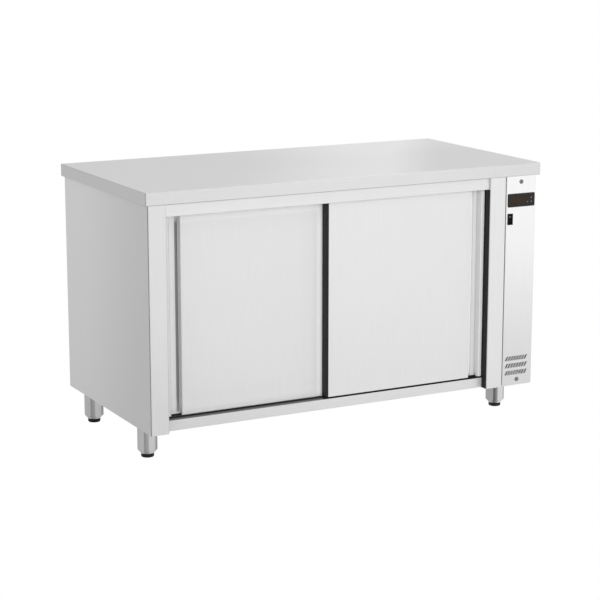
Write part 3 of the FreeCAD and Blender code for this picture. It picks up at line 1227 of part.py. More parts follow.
def make_pieces():
    """Every node of the cabinet by name."""
    pieces = {
        "worktop": make_worktop(),
        "worktop_board": make_worktop_board(),
        "left_side_panel": make_left_side_panel(),
        "right_post": make_right_post(),
        "back_panel": make_back_panel().cut(gland_hole()),
        "base_pan": make_base_pan(),
        "bottom_rail": make_bottom_rail(),
        "top_rail": make_top_rail(),
        "left_lining": make_left_lining(),
        "right_lining": make_right_lining(),
        "back_lining": make_back_lining(),
        "floor_lining": make_floor_lining(),
        "ceiling_lining": make_ceiling_lining(),
        "insulation_slabs": make_insulation(),
        "door_track": make_door_track(),
        "track_stops": make_track_stops(),
        "door_guide": make_door_guide(),
        "left_jamb_strip": make_jamb_strip(LEFT_POST_IN, 1, REAR_DOOR_Y, LEFT_STRIP_SETBACK),
        "right_jamb_strip": make_jamb_strip(RIGHT_POST_IN, -1, FRONT_DOOR_Y, JAMB_STRIP_SETBACK),
        "shelf": make_shelf(),
        "shelf_uprights": make_uprights(),
        "shelf_clips": make_shelf_clips(),
        "foot_sleeves": make_foot_sleeves(),
        "control_cover": make_control_cover(),
        "control_fascia": make_control_fascia(),
        "fascia_screws": make_fascia_screws(),
        "controller_case": make_controller_case(),
        "controller_window": make_controller_window(),
        "rocker_frame": make_rocker_frame(),
        "rocker": make_rocker(),
        "heater_housing": make_heater_housing(),
        "ring_heater": make_ring_heater(),
        "fan_wheel": make_fan_wheel(),
        "fan_motor": make_fan_motor(),
        "safety_cutout": make_safety_cutout(),
        "temperature_probe": make_temperature_probe(),
        "terminal_block": make_terminal_block(),
        "cable_gland": make_cable_gland(),
        "right_door_edge_strip": make_edge_strip(),
    }
    pieces.update(make_door("left_door", LEFT_DOOR_EDGE, 1, REAR_DOOR_Y, DOOR_WIDTH))
    pieces.update(make_door("right_door", RIGHT_DOOR_EDGE, -1, FRONT_DOOR_Y, DOOR_WIDTH - EDGE_STRIP))
    for name, place in key_places().items():
        pieces[name] = make_key(place)
    for name, place in foot_places().items():
        pieces[name + "_foot"] = make_foot(place)
    return pieces


def main():
    os.makedirs("parts", exist_ok=True)
    for name, shape in make_pieces().items():
        shape.exportStep(f"parts/{name}.step")
        print(f"{name}: {len(shape.Solids)} solid(s), valid {shape.isValid()}, {shape.Volume:.0f} cubic mm")


main()
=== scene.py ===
"""Finishes, small moulded and turned pieces, and a photographer's set for a heated plate cabinet."""

import math
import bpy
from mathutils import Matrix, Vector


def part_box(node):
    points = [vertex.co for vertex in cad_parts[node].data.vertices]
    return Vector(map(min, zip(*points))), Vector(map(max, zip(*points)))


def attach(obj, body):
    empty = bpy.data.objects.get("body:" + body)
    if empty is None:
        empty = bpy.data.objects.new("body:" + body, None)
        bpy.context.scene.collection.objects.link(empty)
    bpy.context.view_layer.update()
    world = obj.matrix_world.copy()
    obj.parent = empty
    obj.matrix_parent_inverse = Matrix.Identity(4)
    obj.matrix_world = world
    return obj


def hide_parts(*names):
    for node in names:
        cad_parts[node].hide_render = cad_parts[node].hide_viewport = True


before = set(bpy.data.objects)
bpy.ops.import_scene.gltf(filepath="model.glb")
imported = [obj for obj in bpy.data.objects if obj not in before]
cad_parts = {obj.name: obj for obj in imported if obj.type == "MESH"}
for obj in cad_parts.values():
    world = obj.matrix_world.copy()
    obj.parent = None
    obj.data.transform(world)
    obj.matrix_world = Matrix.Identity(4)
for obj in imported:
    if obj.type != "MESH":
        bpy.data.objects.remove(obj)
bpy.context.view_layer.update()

import types

import bmesh
import bpy
from bpy.props import FloatProperty, FloatVectorProperty, IntProperty, PointerProperty
from mathutils import Vector

bl_info = {
    "name": "Plate cabinet looks",
    "version": (1, 0, 0),
    "blender": (4, 5, 0),
    "location": "View3D > Sidebar > Cabinet",
    "description": "Gives a heated plate cabinet its finishes, small pieces and studio",
    "category": "Object",
}

# Which plain sheets are brushed along which axis
OUTER_LENGTHWISE = ["base_pan"]
OUTER_UPRIGHT = ["left_door_liner", "right_door_liner"]
LINING_LENGTHWISE = ["back_lining", "floor_lining", "ceiling_lining", "shelf", "door_track"]
LINING_UPRIGHT = ["left_lining", "right_lining", "shelf_uprights", "shelf_clips", "left_door_hangers",
                  "right_door_hangers", "heater_housing", "temperature_probe", "safety_cutout"]
SOFT_BLACK = ["track_stops", "left_jamb_strip", "right_jamb_strip", "right_door_edge_strip"]
NYLON = ["left_door_guide_shoes", "right_door_guide_shoes", "left_door_outer_roller",
         "left_door_inner_roller", "right_door_outer_roller", "right_door_inner_roller", "terminal_block"]
FEET = ["front_left_foot", "front_right_foot", "back_left_foot", "back_right_foot"]

# Axes of the object's own coordinates, along which a sheet is brushed
ALONG_X = 0
ALONG_Z = 2

# How many times the brushing varies in a metre, across itself and along itself
GRAIN_ACROSS = 1500.0
GRAIN_ALONG = 8.0
STREAKS_ACROSS = 150.0
STREAKS_ALONG = 1.6

# The same along x, y and z for the steel's faint clouds, the waves of thin sheet and the smears of a cloth
CLOUDS = (2.2, 2.2, 2.2)
WAVES = (3.1, 3.1, 3.1)
SMEARS = (9.0, 9.0, 3.5)

# The same for the clouds in plastic and the patches where hands have rubbed it
PLASTIC_CLOUDS = (45.0, 45.0, 45.0)
RUBBED_PATCHES = (160.0, 160.0, 160.0)

# Darkest and palest grain against the sheet's colour, and what a fully darkened place keeps of it; the
# darkening is painted shade, and dust on the back panel's rim
GRAIN_DARK = 0.955
GRAIN_PALE = 1.04
SHADE_AND_DUST_TONE = 0.1

# Colours of a place fully lit with painted light, and of print on plastic and of the painted light on the
# guide's foot
PAINTED_LIGHT_COLOUR = (0.985, 0.985, 0.985, 1.0)
PRINT_AND_PAINTED_LIGHT = (0.42, 0.42, 0.41, 1.0)

# How metallic each kind of sheet is
OUTER_METALLIC = 0.32
REAR_DOOR_METALLIC = 0.12
LINING_METALLIC = 0.7
FASCIA_METALLIC = 0.95

# Sheets with their own tone and marks: tone against the sheet colour, which away from 1 makes a lighter or
# darker copy of the same steel as painted light, axis of the brushing, and how metallic
OWN_SHEETS = {
    "worktop": (0.985, ALONG_X, OUTER_METALLIC),
    "left_side_panel": (1.09, ALONG_Z, OUTER_METALLIC),
    "back_panel": (1.0, ALONG_X, OUTER_METALLIC),
    "left_door_skin": (0.94, ALONG_Z, REAR_DOOR_METALLIC),
    "right_door_skin": (1.0, ALONG_Z, OUTER_METALLIC),
    "control_cover": (1.0, ALONG_Z, OUTER_METALLIC),
    "right_post": (1.0, ALONG_Z, OUTER_METALLIC),
    "top_rail": (0.98, ALONG_X, OUTER_METALLIC),
    "bottom_rail": (0.96, ALONG_X, OUTER_METALLIC),
}
# Lighter copies of the steel for the fascia and the feet's sleeves, painted light
FASCIA_PAINTED_LIGHT = 1.25
SLEEVE_PAINTED_LIGHT = 1.28

# How near a face, a seam or a bend still counts as on it, in metres
ON_RIM = 0.0006
ON_FACE = 0.0009
ON_SEAM = 0.0018
ON_BEND = 0.0022

# How far behind the channel's floor the finger slot's own floor starts, and over what depth it fades in
SLOT_START = 0.0015
SLOT_FADE = 0.001

# Sides of the turned screws and gland, and of a nut
TURNED_SIDES = 48
NUT_SIDES = 6

# Level directions: to the photographer's right, towards the camera and towards the bright end of the studio
TO_RIGHT = (0.885, -0.465)
TO_CAMERA = (-0.466, -0.885)
TO_BRIGHT_END = (0.93, -0.37)

# Where the lamps hang and what they face
LAMP_SIZE = 3.0
KEY_PLACE = (-0.1, -4.9, 1.9)
KEY_TARGET = (0.0, 0.0, 0.4)
FILL_PLACE = (-4.4, 1.4, 2.6)
FILL_TARGET = (-0.4, 0.0, 0.4)
FILL_SHARE = 0.12

# The camera, in metres, degrees and millimetres
CAMERA_PLACE = (-2.81559, -5.34982, 1.69087)
CAMERA_DIP = 12.2069
CAMERA_TURN = -27.7195
SENSOR_WIDTH = 36.0


class Signal:
    """One output socket of a finish, on which Python's operators add Math nodes."""

    def __init__(self, finish, socket):
        self.finish = finish
        self.socket = socket

    def joined(self, operation, first, second):
        """A Math node of two signals or numbers."""
        return self.finish.node("ShaderNodeMath", {"operation": operation}, {0: first, 1: second})

    def __add__(self, other):
        return self.joined("ADD", self, other)

    def __radd__(self, other):
        return self.joined("ADD", other, self)

    def __sub__(self, other):
        return self.joined("SUBTRACT", self, other)

    def __rsub__(self, other):
        return self.joined("SUBTRACT", other, self)

    def __mul__(self, other):
        return self.joined("MULTIPLY", self, other)

    def __rmul__(self, other):
        return self.joined("MULTIPLY", other, self)

    def __pow__(self, other):
        return self.joined("POWER", self, other)

    def __lt__(self, other):
        return self.joined("LESS_THAN", self, other)

    def __gt__(self, other):
        return self.joined("GREATER_THAN", self, other)

    def __abs__(self):
        return self.finish.node("ShaderNodeMath", {"operation": "ABSOLUTE"}, {0: self})


class Finish:
    """A node tree with one surface shader, written as Python expressions."""

    def __init__(self, name, tree=None):
        if tree is None:
            self.material = bpy.data.materials.new(name)
            self.material.use_nodes = True
            tree = self.material.node_tree
        self.tree = tree
        self.tree.nodes.clear()

    def add(self, kind, settings, sockets):
        """Adds a node, sets it and fills or links its inputs."""
        made = self.tree.nodes.new(kind)
        for key, value in settings.items():
            setattr(made, key, value)
        for key, value in sockets.items():
            if isinstance(value, Signal):
                self.tree.links.new(value.socket, made.inputs[key])
            else:
                made.inputs[key].default_value = value
        return made

    def node(self, kind, settings, sockets, output=0):
        """Adds a node and gives back one of its outputs."""
        return Signal(self, self.add(kind, settings, sockets).outputs[output])

    def place(self, scale):
        """The object's own coordinates in metres, stretched."""
        coordinates = self.node("ShaderNodeTexCoord", {}, {}, "Object")
        return self.node("ShaderNodeMapping", {}, {"Vector": coordinates, "Scale": scale})

    def noise(self, scale, detail=2.0, roughness=0.5):
        """Smooth noise from 0 to 1 whose scale may differ along each axis."""
        return self.node("ShaderNodeTexNoise", {}, {"Vector": self.place(scale), "Scale": 1.0,
                                                    "Detail": detail, "Roughness": roughness}, "Fac")

    def axes(self, output="Object"):
        """The three parts of the object's own coordinates, or of another output of its coordinates node."""
        split = self.add("ShaderNodeSeparateXYZ", {}, {0: self.node("ShaderNodeTexCoord", {}, {}, output)})
        return [Signal(self, socket) for socket in split.outputs]

    def fade(self, signal, low, high, at_low, at_high):
        """A smooth step from one value to another."""
        return self.node("ShaderNodeMapRange", {"interpolation_type": "SMOOTHSTEP"}, {
            "Value": signal, "From Min": low, "From Max": high, "To Min": at_low, "To Max": at_high})

    def band(self, signal, centre, half, soft=0.0004):
        """One within a distance of a value, fading to nothing beyond it."""
        return self.fade(abs(signal - centre), half, half + soft, 1.0, 0.0)

    def edges(self, radius, sharp=0.86, flat=0.998):
        """One along sharp edges, where handling rubs a surface."""
        rounded = self.node("ShaderNodeBevel", {"samples": 6}, {"Radius": radius})
        plain = self.node("ShaderNodeNewGeometry", {}, {}, "Normal")
        dot = {"operation": "DOT_PRODUCT"}
        facing = self.node("ShaderNodeVectorMath", dot, {0: rounded, 1: plain}, "Value")
        return self.fade(facing, sharp, flat, 1.0, 0.0)

    def spread(self, signal, low, high):
        """Turns noise that stays near its middle into a range that uses its ends."""
        return self.node("ShaderNodeMapRange", {}, {"Value": signal, "From Min": 0.3, "From Max": 0.7,
                                                    "To Min": low, "To Max": high})

    def blend(self, factor, first, second):
        """Mixes two colours."""
        mix = {"data_type": "RGBA", "clamp_factor": True}
        return self.node("ShaderNodeMix", mix, {0: factor, 6: first, 7: second}, 2)

    def bump(self, height, distance):
        """A normal that follows a height in metres."""
        return self.node("ShaderNodeBump", {}, {"Height": height, "Distance": distance, "Strength": 1.0})

    def surface(self, **sockets):
        """The one Principled shader, whose inputs are named by their socket with underscores."""
        filled = {key.replace("_", " "): value for key, value in sockets.items()}
        shader = self.node("ShaderNodeBsdfPrincipled", {}, filled)
        self.add("ShaderNodeOutputMaterial", {}, {"Surface": shader})
        return self.material


def shade(colour, factor):
    """A colour made lighter or darker."""
    return tuple(channel * factor for channel in colour[:3]) + (1.0,)


def brushed_sheet(name, colour, roughness, along, grain_depth, waviness, metallic=OUTER_METALLIC, shade_and_dust=None,
                  polished=None):
    """Stainless sheet with grain along one axis, faint clouds and the slight waves of thin metal.

    Two functions may be given, from 0 to 1: one says where the sheet is darkened with painted shade, and with
    dust on the back panel's rim; the other says where it is lightened with painted light.
    """
    finish = Finish(name)
    fine = [GRAIN_ACROSS] * 3
    broad = [STREAKS_ACROSS] * 3
    fine[along] = GRAIN_ALONG
    broad[along] = STREAKS_ALONG
    grain = finish.noise(fine, detail=2.0, roughness=0.6)
    streaks = finish.noise(broad, detail=3.0, roughness=0.55)
    clouds = finish.noise(CLOUDS, detail=2.0, roughness=0.5)
    waves = finish.noise(WAVES, detail=0.0, roughness=0.5)
    smears = finish.noise(SMEARS, detail=3.0, roughness=0.6)
    tone = finish.spread(grain * 0.8 + streaks * 0.12 + clouds * 0.08, 0.0, 1.0)
    base = finish.blend(tone, shade(colour, GRAIN_DARK), shade(colour, GRAIN_PALE))
    # Painted shade, and dust on the back panel's rim, darken these places
    if shade_and_dust is not None:
        base = finish.blend(shade_and_dust(finish), base, shade(colour, SHADE_AND_DUST_TONE))
    # Painted light lightens these places
    if polished is not None:
        base = finish.blend(polished(finish), base, PAINTED_LIGHT_COLOUR)
    rough = finish.spread(grain * 0.55 + streaks * 0.25 + smears * 0.2, roughness - 0.035, roughness + 0.04)
    height = grain * grain_depth + streaks * grain_depth * 0.3
    waved = finish.bump(waves, waviness)
    grained = finish.node("ShaderNodeBump", {}, {"Height": height, "Distance": 1.0, "Strength": 1.0,
                                                 "Normal": waved})
    return finish.surface(Base_Color=base, Metallic=metallic, Roughness=rough, Normal=grained)


def moulded(name, colour, roughness, grain=0.00003, scale=1400.0, specular=0.5, worn=0.35, pale_where=None):
    """Moulded plastic or rubber with a fine skin, faint cloudiness and edges that handling has paled.

    A function may be given that says where the piece is pale, from 0 to 1: with print, and on the guide's
    foot with painted light.
    """
    finish = Finish(name)
    skin = finish.noise((scale, scale, scale), detail=2.0, roughness=0.6)
    clouds = finish.noise(PLASTIC_CLOUDS, detail=2.0, roughness=0.5)
    patches = finish.noise(RUBBED_PATCHES, detail=3.0, roughness=0.6)
    base = finish.blend(finish.spread(clouds, 0.0, 1.0), shade(colour, 0.86), shade(colour, 1.12))
    rub = finish.edges(0.0007) * finish.spread(patches, 0.1, 1.0) * worn
    pale = tuple(channel * 0.55 + 0.045 for channel in colour[:3]) + (1.0,)
    base = finish.blend(rub, base, pale)
    if pale_where is not None:
        base = finish.blend(pale_where(finish), base, PRINT_AND_PAINTED_LIGHT)
    rough = finish.spread(clouds * 0.6 + skin * 0.4, roughness - 0.05, roughness + 0.06)
    return finish.surface(Base_Color=base, Roughness=rough, Specular_IOR_Level=specular,
                          Normal=finish.bump(skin, grain))


def dress(names, material):
    """Gives CAD nodes a finish through their own material slots."""
    for name in names:
        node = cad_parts[name]
        if not node.material_slots:
            node.data.materials.append(material)
        for slot in node.material_slots:
            slot.material = material


def middle(name):
    """The centre of a CAD node's box."""
    low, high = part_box(name)
    return (Vector(low) + Vector(high)) / 2


def start_edit():
    """Goes into edit mode on the active piece, ready to pick faces."""
    bpy.ops.object.mode_set(mode="EDIT")
    bpy.ops.mesh.select_mode(type="FACE")


def end_edit():
    """Merges doubles, turns the faces outwards and leaves edit mode."""
    bpy.ops.mesh.select_all(action="SELECT")
    bpy.ops.mesh.remove_doubles(threshold=0.000001)
    bpy.ops.mesh.normals_make_consistent(inside=False)
    bpy.ops.object.mode_set(mode="OBJECT")


def pick_faces(piece, wanted):
    """Selects, in edit mode, only the faces that a test wants."""
    bpy.ops.mesh.select_all(action="DESELECT")
    mesh = bmesh.from_edit_mesh(piece.data)
    for face in mesh.faces:
        spot = types.SimpleNamespace(normal=face.normal, center=face.calc_center_median())
        face.select_set(wanted(spot))
    bmesh.update_edit_mesh(piece.data)


def cut_out(piece, cutter):
    """Cuts a cutter's shape out of a piece and removes the cutter."""
    recess = piece.modifiers.new("recess", "BOOLEAN")
    recess.operation = "DIFFERENCE"
    recess.solver = "EXACT"
    recess.object = cutter
    bpy.context.view_layer.objects.active = piece
    bpy.ops.object.modifier_apply(modifier=recess.name)
    bpy.ops.object.select_all(action="DESELECT")
    cutter.select_set(True)
    bpy.ops.object.delete()


def new_piece(name):
    """Names the object that a primitive has just added."""
    piece = bpy.context.object
    piece.name = name
    piece.data.name = name
    return piece


def turned(name, profile, place, segments=TURNED_SIDES):
    """A turned piece about a vertical axis, drawn as a disc that is extruded and resized ring by ring."""
    bpy.ops.object.select_all(action="DESELECT")
    radius, height = profile[0]
    foot = Vector(place) + Vector((0, 0, height))
    bpy.ops.mesh.primitive_circle_add(vertices=segments, radius=radius, fill_type="NGON", location=foot)
    piece = new_piece(name)
    start_edit()
    bpy.ops.mesh.select_all(action="SELECT")
    for next_radius, next_height in profile[1:]:
        bpy.ops.mesh.extrude_region_move(TRANSFORM_OT_translate={"value": (0, 0, next_height - height)})
        ratio = next_radius / radius
        level = Vector(place) + Vector((0, 0, next_height))
        bpy.ops.transform.resize(value=(ratio, ratio, 1.0), center_override=level)
        radius = next_radius
        height = next_height
    end_edit()
    return piece


def add_bevel(piece, width, segments, angle):
    """Rounds a piece's edges that are sharper than an angle in degrees."""
    bevel = piece.modifiers.new("rounded edges", "BEVEL")
    bevel.width = width
    bevel.segments = segments
    bevel.limit_method = "ANGLE"
    bevel.angle_limit = math.radians(angle)
    bpy.context.view_layer.objects.active = piece
    bpy.ops.object.modifier_apply(modifier=bevel.name)


def settle(piece, material, body, angle=35.0):
    """Puts a piece's place into its mesh, gives it its finish and lets it ride on its body."""
    bpy.ops.object.select_all(action="DESELECT")
    piece.select_set(True)
    bpy.context.view_layer.objects.active = piece
    bpy.ops.object.transform_apply(location=True, rotation=True, scale=True)
    bpy.ops.object.shade_smooth_by_angle(angle=math.radians(angle))
    piece.data.materials.clear()
    piece.data.materials.append(material)
    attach(piece, body)
    return piece


class CabinetSteel(bpy.types.PropertyGroup):
    """The steel sheets."""

    colour: FloatVectorProperty(
        name="Sheet colour", description="Colour of the outer stainless sheets", subtype="COLOR", size=4,
        min=0, max=1, default=(0.765, 0.765, 0.765, 1.0))
    inner_colour: FloatVectorProperty(
        name="Lining colour", description="Colour of the inner stainless sheets", subtype="COLOR", size=4,
        min=0, max=1, default=(0.69, 0.69, 0.688, 1.0))
    roughness: FloatProperty(
        name="Roughness", description="How dull the brushing makes the outer sheets", subtype="FACTOR",
        min=0, max=1, default=0.34)
    grain_depth: FloatProperty(
        name="Grain depth", description="Depth of the brushed grain", unit="LENGTH", default=0.0000040)
    waviness: FloatProperty(
        name="Waviness", description="Height of the slow waves in thin sheet", unit="LENGTH", default=0.0012)


class CabinetSlots(bpy.types.PropertyGroup):
    """The finger channels' slots."""

    inset: FloatProperty(
        name="Slot inset", description="From the door's outer edge to its finger slot", unit="LENGTH",
        default=0.0355)
    width: FloatProperty(
        name="Slot width", description="Width of the finger slot", unit="LENGTH", default=0.015)
    depth: FloatProperty(
        name="Channel depth", description="From the door's face to the channel's floor", unit="LENGTH",
        default=0.0145)
    lip: FloatProperty(
        name="Lip width", description="Width of the lip outside the channel", unit="LENGTH", default=0.017)
    # Strength of the painted shade in the rear door's finger slot
    shade: FloatProperty(
        name="Slot shade", description="How dark the rear door's finger slot has become", subtype="FACTOR",
        min=0, max=1, default=0.78)


class CabinetControls(bpy.types.PropertyGroup):
    """The screws, keys, window and switch."""

    recess_length: FloatProperty(
        name="Recess length", description="Length of a bar of a screw's cross recess", unit="LENGTH",
        default=0.0062)
    recess_width: FloatProperty(
        name="Recess width", description="Width of a bar of a screw's cross recess", unit="LENGTH",
        default=0.0013)
    recess_depth: FloatProperty(
        name="Recess depth", description="Depth of a screw's cross recess", unit="LENGTH", default=0.0015)
    digit_height: FloatProperty(
        name="Digit height", description="Height of an unlit digit", unit="LENGTH", default=0.014)
    digit_width: FloatProperty(
        name="Digit width", description="Width of an unlit digit", unit="LENGTH", default=0.0075)
    digit_pitch: FloatProperty(
        name="Digit pitch", description="From one digit to the next", unit="LENGTH", default=0.0135)
    segment: FloatProperty(
        name="Segment", description="Thickness of a digit's segments", unit="LENGTH", default=0.0017)
    key_crown: FloatProperty(
        name="Key crown", description="Height of a key's raised middle", unit="LENGTH", default=0.0002)
    mark: FloatProperty(
        name="Mark size", description="Half of a printed mark's height", unit="LENGTH", default=0.0019)


class CabinetFeet(bpy.types.PropertyGroup):
    """The feet."""

    rim: FloatProperty(
        name="Rounded rim", description="Radius of the foot's lower rim", unit="LENGTH", default=0.0032)
    segments: IntProperty(
        name="Segments", description="Sides of the turned shapes", default=56, min=12)
    colour: FloatVectorProperty(
        name="Foot colour", description="Colour of the feet", subtype="COLOR", size=4, min=0, max=1,
        default=(0.010, 0.010, 0.0105, 1.0))


class CabinetSet(bpy.types.PropertyGroup):
    """The set round the cabinet."""

    floor_size: FloatProperty(
        name="Floor size", description="Width of the floor", unit="LENGTH", default=60.0)
    lens: FloatProperty(
        name="Lens", description="Focal length of the camera in millimetres", unit="CAMERA", default=112.06)
    sky: FloatProperty(
        name="Sky level", description="Strength of the even light", default=0.68)
    key: FloatProperty(
        name="Key lamp", description="Power of the large lamp above the front", unit="POWER", default=100.0)


class CABINET_OT_steel(bpy.types.Operator):
    """Gives the outer and inner sheets their brushed finish"""

    bl_idname = "cabinet.steel"
    bl_label = "Brushed Sheets"

    def execute(self, context):
        steel = context.scene.cabinet_steel
        lining_roughness = steel.roughness + 0.05
        lining_waviness = steel.waviness * 0.5
        outer = {}
        inner = {}
        for along, word in ((ALONG_X, "lengthwise"), (ALONG_Z, "upright")):
            outer[along] = brushed_sheet(f"brushed stainless {word}", steel.colour, steel.roughness, along,
                                         steel.grain_depth, steel.waviness)
            inner[along] = brushed_sheet(f"satin lining {word}", steel.inner_colour, lining_roughness, along,
                                         steel.grain_depth, lining_waviness, LINING_METALLIC)
        dress(OUTER_LENGTHWISE, outer[ALONG_X])
        dress(OUTER_UPRIGHT, outer[ALONG_Z])
        dress(LINING_LENGTHWISE, inner[ALONG_X])
        dress(LINING_UPRIGHT, inner[ALONG_Z])
        self.dress_own_sheets(steel)
        self.dress_bright(steel)
        return {"FINISHED"}

    def dress_own_sheets(self, steel):
        """Brushed sheets with their own tone, painted shade and painted light, and dust on the back panel's
        rim.
        """
        # Where each sheet is darkened with painted shade, and the back panel's rim with dust
        shade_and_dust = {"worktop": self.worktop_edges, "left_side_panel": self.folded_corner,
                  "back_panel": self.sheet_rim, "left_door_skin": self.left_slot,
                  "right_door_skin": self.channel_wall, "control_cover": self.bay_inside,
                  "right_post": self.post_seam, "top_rail": self.rail_seam}
        # Where each sheet is lightened with painted light
        polished = {"worktop": self.worktop_painted_sheen, "left_door_skin": self.rear_door_painted_light,
                    "right_door_skin": self.lip_painted_light}
        # A tone away from 1 makes a lighter or darker copy of the same steel, painted light
        for node, (tone, along, metallic) in OWN_SHEETS.items():
            sheet = brushed_sheet(node.replace("_", " "), shade(steel.colour, tone), steel.roughness, along,
                                  steel.grain_depth, steel.waviness, metallic, shade_and_dust.get(node),
                                  polished.get(node))
            dress([node], sheet)

    def dress_bright(self, steel):
        """The fascia and the polished sleeves of the feet, lighter copies of the steel as painted light, both
        with a finer grain.
        """
        fine_grain = steel.grain_depth * 0.3
        fascia_colour = shade(steel.colour, FASCIA_PAINTED_LIGHT)
        sleeve_colour = shade(steel.colour, SLEEVE_PAINTED_LIGHT)
        dress(["control_fascia"], brushed_sheet("bright fascia", fascia_colour, 0.2, ALONG_Z, fine_grain,
                                                steel.waviness * 0.3, FASCIA_METALLIC, self.fascia_edges))
        dress(["foot_sleeves"], brushed_sheet("polished tube", sleeve_colour, 0.14, ALONG_Z, fine_grain,
                                              0.0, 1.0, self.sleeve_painted_reflections))

    def worktop_painted_sheen(self, finish):
        """A painted sheen on the worktop's top: a slanting bright band across it, and a bright part behind
        it.
        """
        slant = 0.62
        front = -0.3
        start = 0.13
        right_edge = 0.24
        left_edge = -0.62
        back_from = (-0.35, -0.05)
        back_full = (0.3, 0.32)
        skin = 0.0008
        x, y, z = finish.axes()
        across = x - (y - front) * slant - start
        right_fade = finish.fade(across, 0.0, right_edge, 0.85, 0.0)
        sheen = right_fade * finish.fade(across, left_edge, 0.0, 0.0, 1.0)
        back_right = finish.fade(x, back_from[0], back_full[0], 0.0, 1.0)
        back = back_right * finish.fade(y, back_from[1], back_full[1], 0.0, 0.3)
        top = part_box("worktop")[1][2]
        return (sheen + back) * (z > top - skin)

    def rear_door_painted_light(self, finish):
        """Painted light on the rear door's closing edge, foot and head, and on the wall of its slot, lifting
        the shade there.
        """
        slots = bpy.context.scene.cabinet_slots
        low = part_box("left_door_skin")[0]
        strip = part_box("right_door_edge_strip")[0][0]
        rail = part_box("top_rail")[0][2]
        x, y, z = finish.axes()
        closing_from = strip - 0.024
        closing_full = strip - 0.008
        closing = finish.fade(x, closing_from, closing_full, 0.0, 0.95)
        foot_full = low[2] + 0.002
        foot_end = low[2] + 0.012
        foot = finish.fade(z, foot_full, foot_end, 0.8, 0.0)
        shin_full = low[2] + 0.014
        shin_end = low[2] + 0.055
        shin = finish.fade(z, shin_full, shin_end, 0.15, 0.0)
        head_from = rail - 0.035
        head_full = rail - 0.010
        head = finish.fade(z, head_from, head_full, 0.0, 0.6)
        wall = finish.band(x, low[0] + slots.inset + slots.width, 0.0007)
        inside = finish.fade(y, low[1] + 0.001, low[1] + 0.003, 0.0, 1.0)
        return closing + (foot + shin) + head + wall * inside

    def lip_painted_light(self, finish):
        """Painted light on the front door's lip and on the floor of its slot."""
        slots = bpy.context.scene.cabinet_slots
        low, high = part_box("right_door_skin")
        x, y = finish.axes()[:2]
        lip = (x > high[0] - slots.lip) * finish.band(y, low[1], ON_RIM) * 0.95
        depth = low[1] + slots.depth + SLOT_START
        floor = (x < high[0] - slots.inset) * finish.fade(y, depth, depth + SLOT_FADE, 0.0, 1.0)
        return lip + floor

    def channel_wall(self, finish):
        """Painted shade on the wall of the front door's channel."""
        slots = bpy.context.scene.cabinet_slots
        low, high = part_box("right_door_skin")
        x, y = finish.axes()[:2]
        wall = finish.band(x, high[0] - slots.lip - 0.0045, 0.0012)
        return wall * finish.fade(y, low[1] + 0.003, low[1] + 0.006, 0.0, 0.22)

    def sheet_rim(self, finish):
        """The cut rim of the back panel, where its joints hold dust."""
        low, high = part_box("back_panel")
        x, z = finish.axes()[::2]
        sides = finish.band(x, low[0], ON_RIM) + finish.band(x, high[0], ON_RIM)
        return (sides + finish.band(z, low[2], ON_RIM) + finish.band(z, high[2], ON_RIM)) * 0.6

    def bay_inside(self, finish):
        """Painted shade on the inner face of the control bay's cover, seen through the vents."""
        back_flange = 0.004
        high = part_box("control_cover")[1]
        x, y = finish.axes()[:2]
        return (x < high[0] - ON_RIM) * (y < high[1] - back_flange) * 0.9

    def post_seam(self, finish):
        """Painted shade along the right post's bent edge beside the doors."""
        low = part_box("right_post")[0]
        x, y = finish.axes()[:2]
        return finish.band(x, low[0], ON_SEAM) * finish.band(y, low[1], ON_SEAM) * 0.25

    def rail_seam(self, finish):
        """Painted shade along the rail's upper edge, under the worktop."""
        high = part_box("top_rail")[1]
        return finish.band(finish.axes()[2], high[2], 0.0016) * 0.3

    def worktop_edges(self, finish):
        """Painted shade on the front and end faces, under the front edge, along the front left corner and
        along the top's left edge.
        """
        low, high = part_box("worktop")
        x, y, z = finish.axes()
        front_left = finish.fade(x, low[0], 0.0, 0.12, 0.075)
        front_right = finish.fade(x, 0.2, high[0], 0.0, 0.04)
        front = finish.band(y, low[1], ON_FACE) * (front_left + front_right)
        underside = finish.band(z, low[2], 0.0014) * finish.band(y, low[1], ON_BEND) * 0.3
        end = finish.band(x, low[0], ON_FACE) * 0.12
        corner = finish.band(x, low[0], ON_BEND) * finish.band(y, low[1], ON_BEND) * 0.3
        rim = finish.band(z, high[2], ON_SEAM) * finish.band(x, low[0], ON_SEAM) * 0.12
        return front + underside + end + corner + rim

    def folded_corner(self, finish):
        """Painted shade along the bend between the side and the post, on the post's face and seam, and on the
        side behind it.
        """
        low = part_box("left_side_panel")[0]
        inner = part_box("top_rail")[0][0]
        x, y, z = finish.axes()
        bend = finish.band(x, low[0], ON_BEND) * finish.band(y, low[1], ON_BEND) * 0.5
        seam = finish.band(x, inner, ON_BEND) * finish.band(y, low[1], ON_BEND) * 0.25
        front = finish.band(y, low[1], ON_FACE) * finish.fade(z, 0.35, 0.8, 0.12, 0.165)
        side_start = low[1] + 0.001
        side_end = low[1] + 0.6
        side = finish.fade(y, side_start, side_end, 0.18, 0.0) * finish.band(x, low[0], ON_FACE)
        return bend + seam + front + side

    def left_slot(self, finish):
        """Painted shade in the rear door's finger slot, behind the channel's floor."""
        slots = bpy.context.scene.cabinet_slots
        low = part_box("left_door_skin")[0]
        x, y = finish.axes()[:2]
        centre = low[0] + slots.inset + slots.width / 2
        depth = low[1] + slots.depth + SLOT_START
        floor = finish.band(x, centre + 0.0018, slots.width / 2 - 0.0027)
        return floor * finish.fade(y, depth, depth + SLOT_FADE, 0.0, slots.shade)

